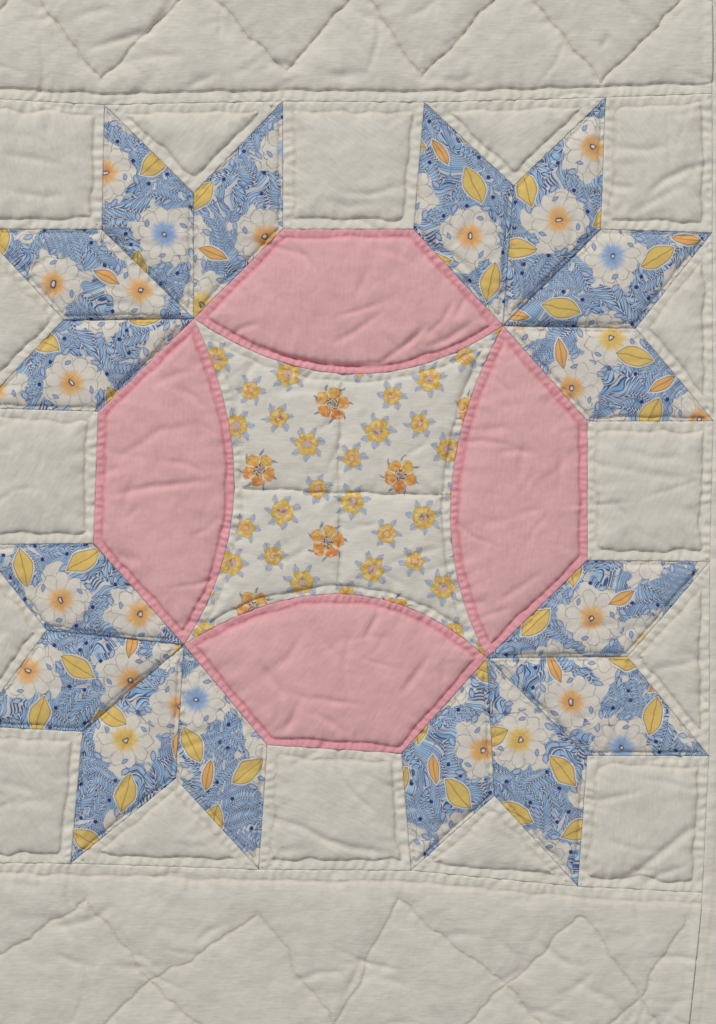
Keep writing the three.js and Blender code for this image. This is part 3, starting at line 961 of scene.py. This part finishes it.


# %% [markdown]
# ## What every cotton shares
# A plain-woven cotton is two sets of threads. Each thread is about 0.35 mm, too fine for this
# picture, so they are drawn three times as coarse, as streaks that swell and thin like real slubs.
# Washing leaves some dirt in the stitched valleys and unevenly faded cloth on the puffs, and the
# valleys and seams are darkened with painted shade as well. The distances that were kept while cutting
# say where a point is: in the valley, or in the narrow strip between the stitches and the seam, which
# the sun never bleached.

# %% A cotton, whatever its colour
# Its loose fibres scatter the light: it is rough, with half the usual shine and a trace of fuzz.
COTTON_ROUGHNESS = 0.92
COTTON_SHINE = 0.25
COTTON_FUZZ = 0.08
THREAD_PITCH = 1.05
SLUB_LENGTH = 7.0


def streaks(tree, cloth, turn):
    """Long thin streaks along one set of threads."""
    along = add(tree, "Mapping", {
        "Vector": cloth, "Rotation": (0, 0, math.radians(turn)),
        "Scale": (1 / SLUB_LENGTH, 1 / THREAD_PITCH, 1)}, vector_type="POINT")
    return add(tree, "TexNoise", {"Vector": along, "Scale": 1.0, "Detail": 2.0, "Roughness": 0.7})


def cotton(name, dyed, dirt_and_shade, in_valleys, at_seams, fade, fade_share, mottle):
    """A woven cotton. dyed gives its colour from the node tree and the place on the bolt."""
    material, tree, shader = new_finish(name, COTTON_ROUGHNESS)
    shader.inputs["Specular IOR Level"].default_value = COTTON_SHINE
    shader.inputs["Sheen Weight"].default_value = COTTON_FUZZ
    cloth = add(tree, "Attribute", attribute_name="cloth").outputs["Vector"]
    kept = add(tree, "Attribute", attribute_name="sewing").outputs["Vector"]
    sewing = add(tree, "SeparateXYZ", {0: kept})
    from_stitches, from_seam = sewing.outputs["X"], sewing.outputs["Z"]

    warp, weft = streaks(tree, cloth, 0), streaks(tree, cloth, 90)
    woven = add(tree, "Math", {0: warp, 1: weft}, operation="ADD")
    clouds = add(tree, "TexNoise", {"Vector": cloth, "Scale": 0.07, "Detail": 5.0, "Roughness": 0.7})
    uneven = add(tree, "Math", {0: clouds, 1: 2.0, 2: woven}, operation="MULTIPLY_ADD")
    bright = add(tree, "MapRange", {
        "Value": uneven, "From Min": 1.6, "From Max": 2.4, "To Min": 1 - mottle, "To Max": 1 + mottle,
    }, clamp=False)

    # Faded puffs, then valleys and seams darkened with dirt and painted shade: the distance that each
    # goes by, where it starts and ends, its share at each, and its colour.
    wear_and_shade = []
    for distance, start, end, first, last, ink in (
            (from_seam, 3.0, 5.0, 0.0, fade_share, fade),
            (from_stitches, 0.1, 1.3, in_valleys, 0.0, dirt_and_shade),
            (from_seam, 0.1, 0.6, at_seams, 0.0, dirt_and_shade)):
        share = add(tree, "MapRange", {"Value": distance, "From Min": start, "From Max": end,
                                       "To Min": first, "To Max": last}, interpolation_type="SMOOTHSTEP")
        wear_and_shade.append((share, ink))
    # The darkening in the valleys and at the seams is part dirt and part painted shade.
    colour = printed(tree, dyed(tree, cloth), wear_and_shade)
    colour = add(tree, "VectorMath", {0: colour, 3: bright}, operation="SCALE")
    tree.links.new(colour.outputs[0], shader.inputs["Base Color"])

    crumple = add(tree, "TexNoise", {"Vector": cloth, "Scale": 0.13, "Detail": 2.0, "Roughness": 0.4})
    relief = add(tree, "Math", {0: crumple, 1: 11.0, 2: woven}, operation="MULTIPLY_ADD")
    bump = add(tree, "Bump", {"Height": relief, "Strength": 0.35, "Distance": 0.25 * MM})
    tree.links.new(bump.outputs[0], shader.inputs["Normal"])
    print(name, "has", len(tree.nodes), "nodes")
    return material


# %% [markdown]
# ## White muslin and pink cotton
# The ground is unbleached muslin, washed to a warm white. The pink is one flat dye, so what makes
# it real is its wear: the puffs have faded, and the strip beside each seam has kept its first
# colour.

# %% The two plain cloths


def muslin_dye(tree, cloth):
    """Unbleached cotton, a little yellower in some threads."""
    fibres = add(tree, "TexNoise", {"Vector": cloth, "Scale": 0.9, "Detail": 3.0})
    return printed(tree, "#e4e1d8", [(fibres, "#dbd7cc")])


def pink_dye(tree, cloth):
    """Rose pink, with paler flecks where threads have lost their dye."""
    flecks = add(tree, "TexNoise", {"Vector": cloth, "Scale": 1.3, "Detail": 4.0, "Roughness": 0.7})
    worn = add(tree, "MapRange", {
        "Value": flecks, "From Min": 0.45, "From Max": 0.75, "To Max": 0.5})
    return printed(tree, "#e7a5af", [(worn, "#edbbc0")])


# The dark colour in the valleys and at the seams is part dirt and part painted shade in the muslin, and
# painted shade in the pink.
white_muslin = cotton("white_muslin", muslin_dye, dirt_and_shade="#947850", in_valleys=0.12, at_seams=0.04,
                      fade="#d4d0c8", fade_share=0.5, mottle=0.07)
pink_cotton = cotton("pink_cotton", pink_dye, dirt_and_shade="#b0505e", in_valleys=0.2, at_seams=0.1,
                     fade="#e4b6b7", fade_share=0.8, mottle=0.06)

# %% [markdown]
# ## Drawing a printed flower
# A printed cloth repeats a small chart of motifs. For each motif the cloth is wrapped round, so it
# is as if every point stood in one repeat, and the nearest motif wins. Seen from its middle, a
# flower is a circle whose edge goes in and out with the angle, a leaf is a lens, and leaves round a
# flower are one leaf turned again and again. Each function gives a distance in millimetres that is
# negative inside the shape, so that one number makes both the fill and the outline.

# %% Motifs


def nearest_motif(tree, cloth, repeat, chart):
    """Where a point lies as seen from the nearest motif, how far that is, and the motif's shade."""
    seen, distance, shade = None, None, None
    reach = np.array([*repeat, 2.0]) / 2
    for x, y, turn, *own in chart:
        own_shade = own[0] if own else 0.0
        centre = np.array([x, y, 0.0])
        wrapped = add(tree, "VectorMath", {
            0: cloth, 1: tuple(centre + reach), 2: tuple(centre - reach)}, operation="WRAP")
        moved = add(tree, "VectorMath", {0: wrapped, 1: tuple(centre)}, operation="SUBTRACT")
        turned = add(tree, "VectorRotate", {"Vector": moved, "Angle": math.radians(-turn)},
                     rotation_type="Z_AXIS")
        away = add(tree, "VectorMath", {0: turned}, operation="LENGTH").outputs["Value"]
        if seen is None:
            seen, distance, shade = turned.outputs[0], away, own_shade
            continue
        closer = add(tree, "Math", {0: away, 1: distance}, operation="LESS_THAN")
        seen = add(tree, "Mix", {0: closer, 4: seen, 5: turned}, data_type="VECTOR").outputs[1]
        shade = add(tree, "Mix", {0: closer, 2: shade, 3: own_shade}).outputs[0]
        distance = add(tree, "Math", {0: away, 1: distance}, operation="MINIMUM").outputs[0]
    return seen, distance, shade


def angle_round(tree, seen):
    """The angle of a point round its motif, in radians."""
    parts = add(tree, "SeparateXYZ", {0: seen})
    return add(tree, "Math", {0: parts.outputs["Y"], 1: parts.outputs["X"]}, operation="ARCTAN2")


def flower_edge(tree, seen, distance, petals, reach, notch):
    """The distance to the edge of a flower with this many petals, and where two of them meet."""
    angle = angle_round(tree, seen)
    wave = add(tree, "Math", {0: angle, 1: petals / 2}, operation="MULTIPLY")
    wave = add(tree, "Math", {0: wave}, operation="COSINE")
    wave = add(tree, "Math", {0: wave}, operation="ABSOLUTE")
    wave = add(tree, "Math", {0: wave, 1: 0.6}, operation="POWER")
    edge = add(tree, "MapRange", {"Value": wave, "To Min": reach * (1 - notch), "To Max": reach})
    edge = add(tree, "Math", {0: distance, 1: edge}, operation="SUBTRACT")
    return edge, add(tree, "MapRange", {"Value": wave, "From Min": 0.5, "From Max": 0.25})


def leaf_edge(tree, seen, length, width):
    """The distance to the edge of a leaf that points along x, and the distance from its midrib."""
    parts = add(tree, "SeparateXYZ", {0: seen})
    share = add(tree, "Math", {0: parts.outputs["X"], 1: length / 2}, operation="DIVIDE")
    share = add(tree, "Math", {0: share, 1: share}, operation="MULTIPLY")
    half = add(tree, "MapRange", {"Value": share, "To Min": width / 2, "To Max": 0.0}, clamp=False)
    rib = add(tree, "Math", {0: parts.outputs["Y"]}, operation="ABSOLUTE")
    return add(tree, "Math", {0: rib, 1: half}, operation="SUBTRACT"), rib


def leaves_round(tree, seen, count, at, length, width, lean):
    """As leaf_edge, for the nearest of a ring of leaves round a flower."""
    angle = angle_round(tree, seen)
    sector = 2 * math.pi / count
    turned = add(tree, "Math", {0: angle, 1: sector}, operation="DIVIDE")
    turned = add(tree, "Math", {0: turned}, operation="ROUND")
    turned = add(tree, "Math", {0: turned, 1: -sector}, operation="MULTIPLY")
    upright = add(tree, "VectorRotate", {"Vector": seen, "Angle": turned}, rotation_type="Z_AXIS")
    moved = add(tree, "VectorMath", {0: upright, 1: (at, 0, 0)}, operation="SUBTRACT")
    leaning = add(tree, "VectorRotate", {"Vector": moved, "Angle": math.radians(lean)},
                  rotation_type="Z_AXIS")
    return leaf_edge(tree, leaning, length, width)


def filled(tree, edge, blur=0.2):
    """1 inside a shape, 0 outside."""
    return add(tree, "MapRange", {"Value": edge, "From Min": blur, "From Max": -blur})


def outlined(tree, edge, width, blur=0.22, share=1.0):
    """1 on a line of this width, 0 away from it."""
    size = add(tree, "Math", {0: edge}, operation="ABSOLUTE")
    return add(tree, "MapRange", {
        "Value": size, "From Min": width / 2 + blur, "From Max": width / 2 - blur, "To Max": share})


def both(tree, a, b):
    """Where two masks overlap."""
    return add(tree, "Math", {0: a, 1: b}, operation="MULTIPLY")


# %% [markdown]
# ## The yellow-flowered print
# The middle patch has sprigs on an off-white ground, in rows set half a repeat apart: roses in
# orange, open yellow flowers with a lilac middle and a ring of grey-blue leaves, and small ones
# between. The chart gives each motif's place and turn, for a repeat of 58.5 by 57 mm.

# %% Chart and inks of the yellow-flowered print
YELLOW_REPEAT = (58.5, 57.0)
ROSES = [(0, 0, 8), (29.2, 28.5, -20)]
OPEN_FLOWERS = [(-18.8, 11.6, 20), (-9.8, -17.1, 65), (19.1, -10.7, 110), (9.8, 16.8, 170)]
SMALL_FLOWERS = [(24.6, 4.3, 0), (-22, -6.7, 70), (9, -22, 130), (-4.6, 21.7, 200)]

# Chart, reach, petals and leaves, then the inks of the petals, the ring within and the middle.
YELLOW_FLOWERS = [
    (OPEN_FLOWERS, 5.0, 6, 7, "#dcb95e", "#dca87e", "#cbb6b4"),
    (SMALL_FLOWERS, 3.9, 5, 6, "#deb564", "#dc9c5c", "#e4c39e"),
]


def drawn_by_hand(tree, cloth, amount, size):
    """The cloth's places, shaken a little, so that no motif is quite regular."""
    shake = add(tree, "TexNoise", {"Vector": cloth, "Scale": 1 / size, "Detail": 1.0})
    shake = add(tree, "VectorMath", {0: shake.outputs["Color"], 1: (0.5, 0.5, 0.5)},
                operation="SUBTRACT")
    shake = add(tree, "VectorMath", {0: shake, 3: amount}, operation="SCALE")
    flat = add(tree, "VectorMath", {0: shake, 1: (1, 1, 0)}, operation="MULTIPLY")
    return add(tree, "VectorMath", {0: cloth, 1: flat}, operation="ADD").outputs[0]


def disc(tree, distance, radius):
    """1 inside a small round spot."""
    return filled(tree, add(tree, "Math", {0: distance, 1: radius}, operation="SUBTRACT"))


def flower_inks(tree, shaken, pale, deep):
    """The yellow flowers, each with its ring of grey-blue leaves."""
    inks = []
    for chart, reach, petals, leaves, yellow, ring_ink, middle_ink in YELLOW_FLOWERS:
        seen, distance, _ = nearest_motif(tree, shaken, YELLOW_REPEAT, chart)
        leaf, rib = leaves_round(tree, seen, leaves, reach + 0.6, 4.6, 2.3, 14)
        edge, meeting = flower_edge(tree, seen, distance, petals, reach, 0.26)
        blade, petal = filled(tree, leaf, 0.3), filled(tree, edge, 0.3)
        ring = disc(tree, distance, reach * 0.42)
        gap = add(tree, "Math", {0: meeting, 1: 0.55}, operation="MULTIPLY")
        inks += [
            (blade, "#b7c0d0"),
            (both(tree, blade, outlined(tree, rib, 0.3, share=0.5)), "#66728c"),
            (outlined(tree, leaf, 0.25, share=0.45), "#66728c"),
            (petal, yellow),
            (both(tree, petal, pale), "#e8d698"),
            (both(tree, petal, deep), "#cca24c"),
            (both(tree, petal, gap), "#ece2c6"),
            (outlined(tree, edge, 0.3, share=0.5), "#a98434"),
            (ring, ring_ink),
            (disc(tree, distance, reach * 0.28), middle_ink),
            (both(tree, ring, deep), "#8f7a62"),
        ]
    return inks


def rose_inks(tree, cloth, shaken, pale, deep):
    """Roses with five orange petals, yellower above, and a speckled middle."""
    seen, distance, _ = nearest_motif(tree, shaken, YELLOW_REPEAT, ROSES)
    leaf, _ = leaves_round(tree, seen, 7, 7.2, 3.4, 0.8, 30)
    edge, meeting = flower_edge(tree, seen, distance, 5, 6.8, 0.34)
    petal = filled(tree, edge, 0.3)
    up = add(tree, "SeparateXYZ", {0: seen}).outputs["Y"]
    upper = add(tree, "MapRange", {"Value": up, "From Min": 0.5, "From Max": 3.5})
    lower = add(tree, "MapRange", {"Value": up, "From Min": -1.5, "From Max": -4.5})
    specks = add(tree, "TexNoise", {"Vector": cloth, "Scale": 1.3, "Detail": 1.0})
    speck = add(tree, "MapRange", {"Value": specks, "From Min": 0.5, "From Max": 0.56})
    return [
        (filled(tree, leaf, 0.3), "#7c8698"),
        (petal, "#dfa25e"),
        (both(tree, petal, upper), "#e0b864"),
        (both(tree, petal, lower), "#d98c56"),
        (both(tree, petal, pale), "#e9c98c"),
        (both(tree, petal, deep), "#d48650"),
        (both(tree, petal, meeting), "#efe0c4"),
        (outlined(tree, edge, 0.3, share=0.5), "#c88048"),
        (disc(tree, distance, 2.4), "#dcbc98"),
        (both(tree, disc(tree, distance, 2.6), speck), "#5a6074"),
        (disc(tree, distance, 0.7), "#8f9cb4"),
    ]


def yellow_flowers(tree, cloth):
    """Sprigs of roses, open flowers and small flowers on off-white."""
    shaken = drawn_by_hand(tree, cloth, 2.4, 2.6)
    dabs = add(tree, "TexNoise", {"Vector": cloth, "Scale": 0.5, "Detail": 1.0})
    pale = add(tree, "MapRange", {"Value": dabs, "From Min": 0.52, "From Max": 0.64, "To Max": 0.8})
    deep = add(tree, "MapRange", {"Value": dabs, "From Min": 0.46, "From Max": 0.34, "To Max": 0.8})
    inks = flower_inks(tree, shaken, pale, deep) + rose_inks(tree, cloth, shaken, pale, deep)
    return printed(tree, "#dedbd2", inks)


# Its valleys and seams are darkened with part dirt and part painted shade.
yellow_print = cotton("yellow_flowered_print", yellow_flowers, dirt_and_shade="#8d7f66", in_valleys=0.1,
                      at_seams=0.1, fade="#e6dfcd", fade_share=0.0, mottle=0.05)

# %% [markdown]
# ## The blue-flowered print
# The diamonds are a busy print: feathery blue foliage in bending rows, and open patches of ground
# with big white daisies, yellow leaves and orange buds. The foliage is one stroke, repeated down a
# row and mirrored across its spine. Noise bends the rows, and turns them in some places, so the
# repeat doesn't show.

# %% The foliage
# The width of a row with its mirror image, the spacing of the strokes, and how they rise and curl.
ROW_WIDTH = 7.6
STROKE_PITCH = 1.55
STROKE_SLOPE = 0.5
STROKE_CURL = 0.14


def foliage_strokes(tree, cloth):
    """Feathery strokes in bending rows: the stroke, its dark outline, and a number for each stroke."""
    bend = add(tree, "TexNoise", {"Vector": cloth, "Scale": 0.034, "Detail": 2.5, "Roughness": 0.3})
    bend = add(tree, "VectorMath", {0: bend.outputs["Color"], 3: 46.0}, operation="SCALE")
    bent = add(tree, "VectorMath", {0: cloth, 1: bend}, operation="ADD")
    across = add(tree, "VectorRotate", {"Vector": bent, "Angle": math.radians(68)},
                 rotation_type="Z_AXIS")
    field = add(tree, "TexNoise", {"Vector": cloth, "Scale": 0.04, "Detail": 0.0})
    turned = add(tree, "Math", {0: field, 1: 0.5}, operation="GREATER_THAN")
    place = add(tree, "Mix", {0: turned, 4: bent, 5: across}, data_type="VECTOR").outputs[1]
    parts = add(tree, "SeparateXYZ", {0: place})
    spine = add(tree, "Math", {0: parts.outputs["X"], 1: ROW_WIDTH / 2}, operation="PINGPONG")
    row = add(tree, "Math", {0: parts.outputs["X"], 1: ROW_WIDTH / 2}, operation="DIVIDE")
    row = add(tree, "Math", {0: row}, operation="FLOOR")
    rise = add(tree, "Math", {0: spine, 1: -STROKE_CURL, 2: -STROKE_SLOPE},
               operation="MULTIPLY_ADD")
    drop = add(tree, "Math", {0: spine, 1: rise, 2: parts.outputs["Y"]}, operation="MULTIPLY_ADD")
    drop = add(tree, "Math", {0: row, 1: 0.77, 2: drop}, operation="MULTIPLY_ADD")
    count = add(tree, "Math", {0: drop, 1: STROKE_PITCH}, operation="DIVIDE")
    index = add(tree, "Math", {0: count}, operation="FLOOR")
    inside_stroke = add(tree, "Math", {0: count}, operation="FRACT")
    offset = add(tree, "Math", {0: inside_stroke, 1: 0.5}, operation="SUBTRACT")
    size = add(tree, "Math", {0: offset}, operation="ABSOLUTE")
    belly = add(tree, "Math", {0: spine, 1: math.pi / (ROW_WIDTH / 2)}, operation="MULTIPLY")
    belly = add(tree, "Math", {0: belly}, operation="SINE")
    half = add(tree, "MapRange", {"Value": belly, "To Min": 0.04, "To Max": 0.42})
    edge = add(tree, "Math", {0: size, 1: half}, operation="SUBTRACT")
    number = add(tree, "CombineXYZ", {"X": row, "Y": index})
    chance = add(tree, "TexWhiteNoise", {"Vector": number}, noise_dimensions="2D")
    stroke = add(tree, "MapRange", {"Value": edge, "From Min": 0.08, "From Max": -0.04})
    leaning = add(tree, "Math", {0: offset, 1: -0.4, 2: edge}, operation="MULTIPLY_ADD")
    dark = add(tree, "Math", {0: leaning}, operation="ABSOLUTE")
    dark = add(tree, "MapRange", {
        "Value": dark, "From Min": 0.2, "From Max": 0.05, "To Max": 0.95})
    return stroke, dark, chance.outputs["Value"]


def foliage_inks(tree, cloth, leafy):
    """The blue foliage on a pale wash, with dark berries on it and thin twigs."""
    stroke, dark, chance = foliage_strokes(tree, cloth)
    here = add(tree, "MapRange", {"Value": chance, "From Min": 0.02, "From Max": 0.05})
    here = both(tree, here, leafy)
    tint = printed(tree, "#b4cfe8", [(chance, "#82aeda")])
    wash = add(tree, "Math", {0: leafy, 1: 0.35}, operation="MULTIPLY")
    dots = add(tree, "TexVoronoi", {"Vector": cloth, "Scale": 0.085}, voronoi_dimensions="2D")
    dot = add(tree, "MapRange", {"Value": dots, "From Min": 0.084, "From Max": 0.058})
    twig = add(tree, "TexNoise", {"Vector": cloth, "Scale": 0.09, "Detail": 0.0})
    twig = add(tree, "Math", {0: twig, 1: 0.5}, operation="SUBTRACT")
    twig = add(tree, "Math", {0: twig}, operation="ABSOLUTE")
    twig = add(tree, "MapRange", {"Value": twig, "From Min": 0.009, "From Max": 0.004, "To Max": 0.75})
    return [
        (wash, "#a9b8d0"),
        (both(tree, stroke, here), tint),
        (both(tree, dark, here), "#2d5088"),
        (both(tree, dot, leafy), "#2c3f78"),
        (twig, "#66759a"),
    ]


# %% The daisies, leaves and buds


def daisy_inks(tree, cloth, seen, distance, shade):
    """White daisies with a fuzzy middle, and small blue leaves on them and round them."""
    calm = drawn_by_hand(tree, cloth, 1.6, 6.0)
    calm_seen, _, _ = nearest_motif(tree, calm, BLUE_REPEAT, DAISIES)
    outer, _ = leaves_round(tree, calm_seen, 6, 13.2, 4.2, 2.0, 55)
    inner, _ = leaves_round(tree, calm_seen, 3, 8.7, 3.2, 1.5, 62)
    edge, meeting = flower_edge(tree, seen, distance, 10, 11.4, 0.26)
    petal = filled(tree, edge)
    gap = add(tree, "Math", {0: petal, 1: 0.35}, operation="MULTIPLY")
    rays = add(tree, "VectorMath", {0: seen}, operation="NORMALIZE")
    frayed = add(tree, "TexNoise", {"Vector": rays, "Scale": 5.0, "Detail": 2.0})
    frayed = add(tree, "Math", {0: frayed, 1: 4.5, 2: distance}, operation="MULTIPLY_ADD")
    fuzzy = add(tree, "MapRange", {"Value": frayed, "From Min": 8.2, "From Max": 5.9, "To Max": 0.9})
    core = add(tree, "MapRange", {"Value": frayed, "From Min": 6.2, "From Max": 4.0, "To Max": 0.5})
    yellow = add(tree, "MapRange", {"Value": shade, "From Min": 0.2, "From Max": 0.4})
    blue = add(tree, "MapRange", {"Value": shade, "From Min": 0.6, "From Max": 0.8})
    return [
        (filled(tree, outer), "#aebfd9"),
        (outlined(tree, outer, 0.35, share=0.9), "#506290"),
        (petal, "#e0dbd2"),
        (both(tree, gap, meeting), "#8c93a4"),
        (outlined(tree, edge, 0.28, share=0.7), "#565e78"),
        (filled(tree, inner), "#9db1d2"),
        (outlined(tree, inner, 0.3, share=0.9), "#4a5c8c"),
        (fuzzy, printed(tree, "#e8b878", [(yellow, "#e2c470"), (blue, "#9ab6dc")])),
        (core, printed(tree, "#d38e4c", [(yellow, "#cfa448"), (blue, "#6a90c8")])),
        (disc(tree, distance, 1.3), "#5c5364"),
        (disc(tree, distance, 0.7), "#e0dbd2"),
    ]


def leaf_inks(tree, cloth):
    """Yellow leaves and orange buds, each with a pale rim, a midrib and an outline."""
    smoother = drawn_by_hand(tree, cloth, 2.2, 8.0)
    inks = []
    for chart, length, width, ink in (
            (YELLOW_LEAVES, 16.0, 8.0, "#e0c272"), (BUDS, 12.5, 4.4, "#e6b06e")):
        seen, _, _ = nearest_motif(tree, smoother, BLUE_REPEAT, chart)
        edge, rib = leaf_edge(tree, seen, length, width)
        blade = filled(tree, edge)
        halo = add(tree, "Math", {0: edge, 1: 0.7}, operation="SUBTRACT")
        inks += [
            (filled(tree, halo), "#e6e0d2"),
            (blade, ink),
            (both(tree, outlined(tree, rib, 0.3, share=0.8), blade), "#6b6250"),
            (outlined(tree, edge, 0.35, share=0.85), "#5f6070"),
        ]
    return inks


def blue_flowers(tree, cloth):
    """Blue foliage with white daisies, yellow leaves and orange buds."""
    shaken = drawn_by_hand(tree, drawn_by_hand(tree, cloth, 3.0, 4.5), 1.0, 1.6)
    seen, distance, shade = nearest_motif(tree, shaken, BLUE_REPEAT, DAISIES)
    patchy = add(tree, "TexNoise", {"Vector": cloth, "Scale": 0.1, "Detail": 2.0})
    reach = add(tree, "Math", {0: patchy, 1: 22.0, 2: distance}, operation="MULTIPLY_ADD")
    leafy = add(tree, "MapRange", {"Value": reach, "From Min": 23.5, "From Max": 24.3})
    inks = foliage_inks(tree, cloth, leafy)
    inks += daisy_inks(tree, cloth, seen, distance, shade)
    inks += leaf_inks(tree, cloth)
    return printed(tree, "#ded9cf", inks)


# The dark lines at its seams are painted shade where the diamonds' seams fold in.
blue_print = cotton("blue_flowered_print", blue_flowers, dirt_and_shade="#3c4458", in_valleys=0.06,
                    at_seams=0.26, fade="#e6dfcd", fade_share=0.0, mottle=0.05)

# %% [markdown]
# ## Quilting thread
# Hand quilting thread is cotton too, a little glossier than the cloth because it is waxed to slip
# through the layers. In the pink patches it has taken on the colour of the cloth.

# %% Thread


def waxed_thread(name, light, shade):
    """Cotton thread with a faint twist."""
    material, tree, shader = new_finish(name, 0.6)
    place = add(tree, "TexCoord").outputs["Object"]
    twist = add(tree, "TexNoise", {"Vector": place, "Scale": 2000.0, "Detail": 1.0})
    colour = printed(tree, light, [(twist, shade)])
    tree.links.new(colour, shader.inputs["Base Color"])
    return material


white_thread_finish = waxed_thread("waxed_white_thread", "#e6e0d2", "#cfc6b4")
pink_thread_finish = waxed_thread("waxed_pink_thread", "#e2a0a8", "#cf8690")

# %% [markdown]
# ## Dressing the pieces
# Each piece gets its cloth, and the imported solid is hidden.

# %% Materials for each piece
CLOTHS = {"square": (white_muslin, "white_cotton"), "triangle": (white_muslin, "white_cotton"),
          "diamond": (blue_print, "blue_flowered_cotton"), "melon": (pink_cotton, "pink_cotton"),
          "middle": (yellow_print, "yellow_flowered_cotton")}
plain_pieces = [top_strip, low_strip, left_strip, right_strip, backing]
dressing = [(piece, *CLOTHS[kind]) for kind, found in pieces.items() for piece in found]
dressing += [(piece, white_muslin, "white_cotton") for piece in plain_pieces]
dressing.append((thread, white_thread_finish, "quilting_thread"))
dressing.append((pink_thread, pink_thread_finish, "quilting_thread"))
for piece, material, slot in dressing:
    piece.data.materials.append(material)
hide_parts("quilt")

# %% [markdown]
# ## Floor, light and camera
# The picture was taken straight down in soft daylight that comes from the upper left, so valleys
# that run across the light are dark and those that run along it hardly show. One far window-like
# lamp gives that direction, evenly over the whole face, and a pale surround fills the shadows.

# %% Floor
FLOOR_HALF = 3

floor_mesh = bpy.data.meshes.new("floor")
floor_corners = [(x * FLOOR_HALF, y * FLOOR_HALF, 0) for x, y in ((-1, -1), (1, -1), (1, 1), (-1, 1))]
floor_mesh.from_pydata(floor_corners, [], [(0, 1, 2, 3)])
floor = bpy.data.objects.new("floor", floor_mesh)
bpy.context.scene.collection.objects.link(floor)


def floor_paint():
    """A matt grey board."""
    material, tree, shader = new_finish("grey_board", 0.8)
    grain = add(tree, "TexNoise", {"Scale": 30.0, "Detail": 3.0})
    colour = printed(tree, "#cfcdc8", [(grain, "#c6c4bf")])
    tree.links.new(colour, shader.inputs["Base Color"])
    return material


floor.data.materials.append(floor_paint())

# %% Camera
# What the frame shows from top to bottom, in millimetres, sets how high the camera is.
FRAME_HEIGHT = 423.0
LENS = 85.0
SENSOR = 36.0

camera_data = bpy.data.cameras.new("camera")
camera_data.sensor_fit = "VERTICAL"
camera_data.sensor_height = SENSOR
camera_data.lens = LENS
camera = bpy.data.objects.new("camera", camera_data)
bpy.context.scene.collection.objects.link(camera)
camera.location = (0, 0, (STACK + FRAME_HEIGHT * LENS / SENSOR) * MM)
bpy.context.scene.camera = camera
print(f"the camera is {camera.location.z:.2f} m up")

# %% Light
# The window's place and width in metres and its power in watts, then the brightness of the surround.
WINDOW_AT = (-1.8, 5.0, 4.6)
WINDOW_SIZE = 1.5
WINDOW_POWER = 334.0
SURROUND = 0.36

window_data = bpy.data.lights.new("window", "AREA")
window_data.size = WINDOW_SIZE
window_data.energy = WINDOW_POWER
window_data.color = linear("#fffaf2")[:3]
window = bpy.data.objects.new("window", window_data)
window.location = WINDOW_AT
window.rotation_euler = (-Vector(WINDOW_AT)).to_track_quat("-Z", "Y").to_euler()
bpy.context.scene.collection.objects.link(window)

world = bpy.data.worlds.new("pale_room")
world.use_nodes = True
world.node_tree.nodes["Background"].inputs["Color"].default_value = linear("#f1f2f5")
world.node_tree.nodes["Background"].inputs["Strength"].default_value = SURROUND
bpy.context.scene.world = world
bpy.context.scene.view_settings.view_transform = "Standard"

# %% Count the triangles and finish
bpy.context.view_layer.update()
triangles = sum(len(p.vertices) - 2 for piece, _, _ in dressing for p in piece.data.polygons)
print(triangles, "triangles in the whole quilt")
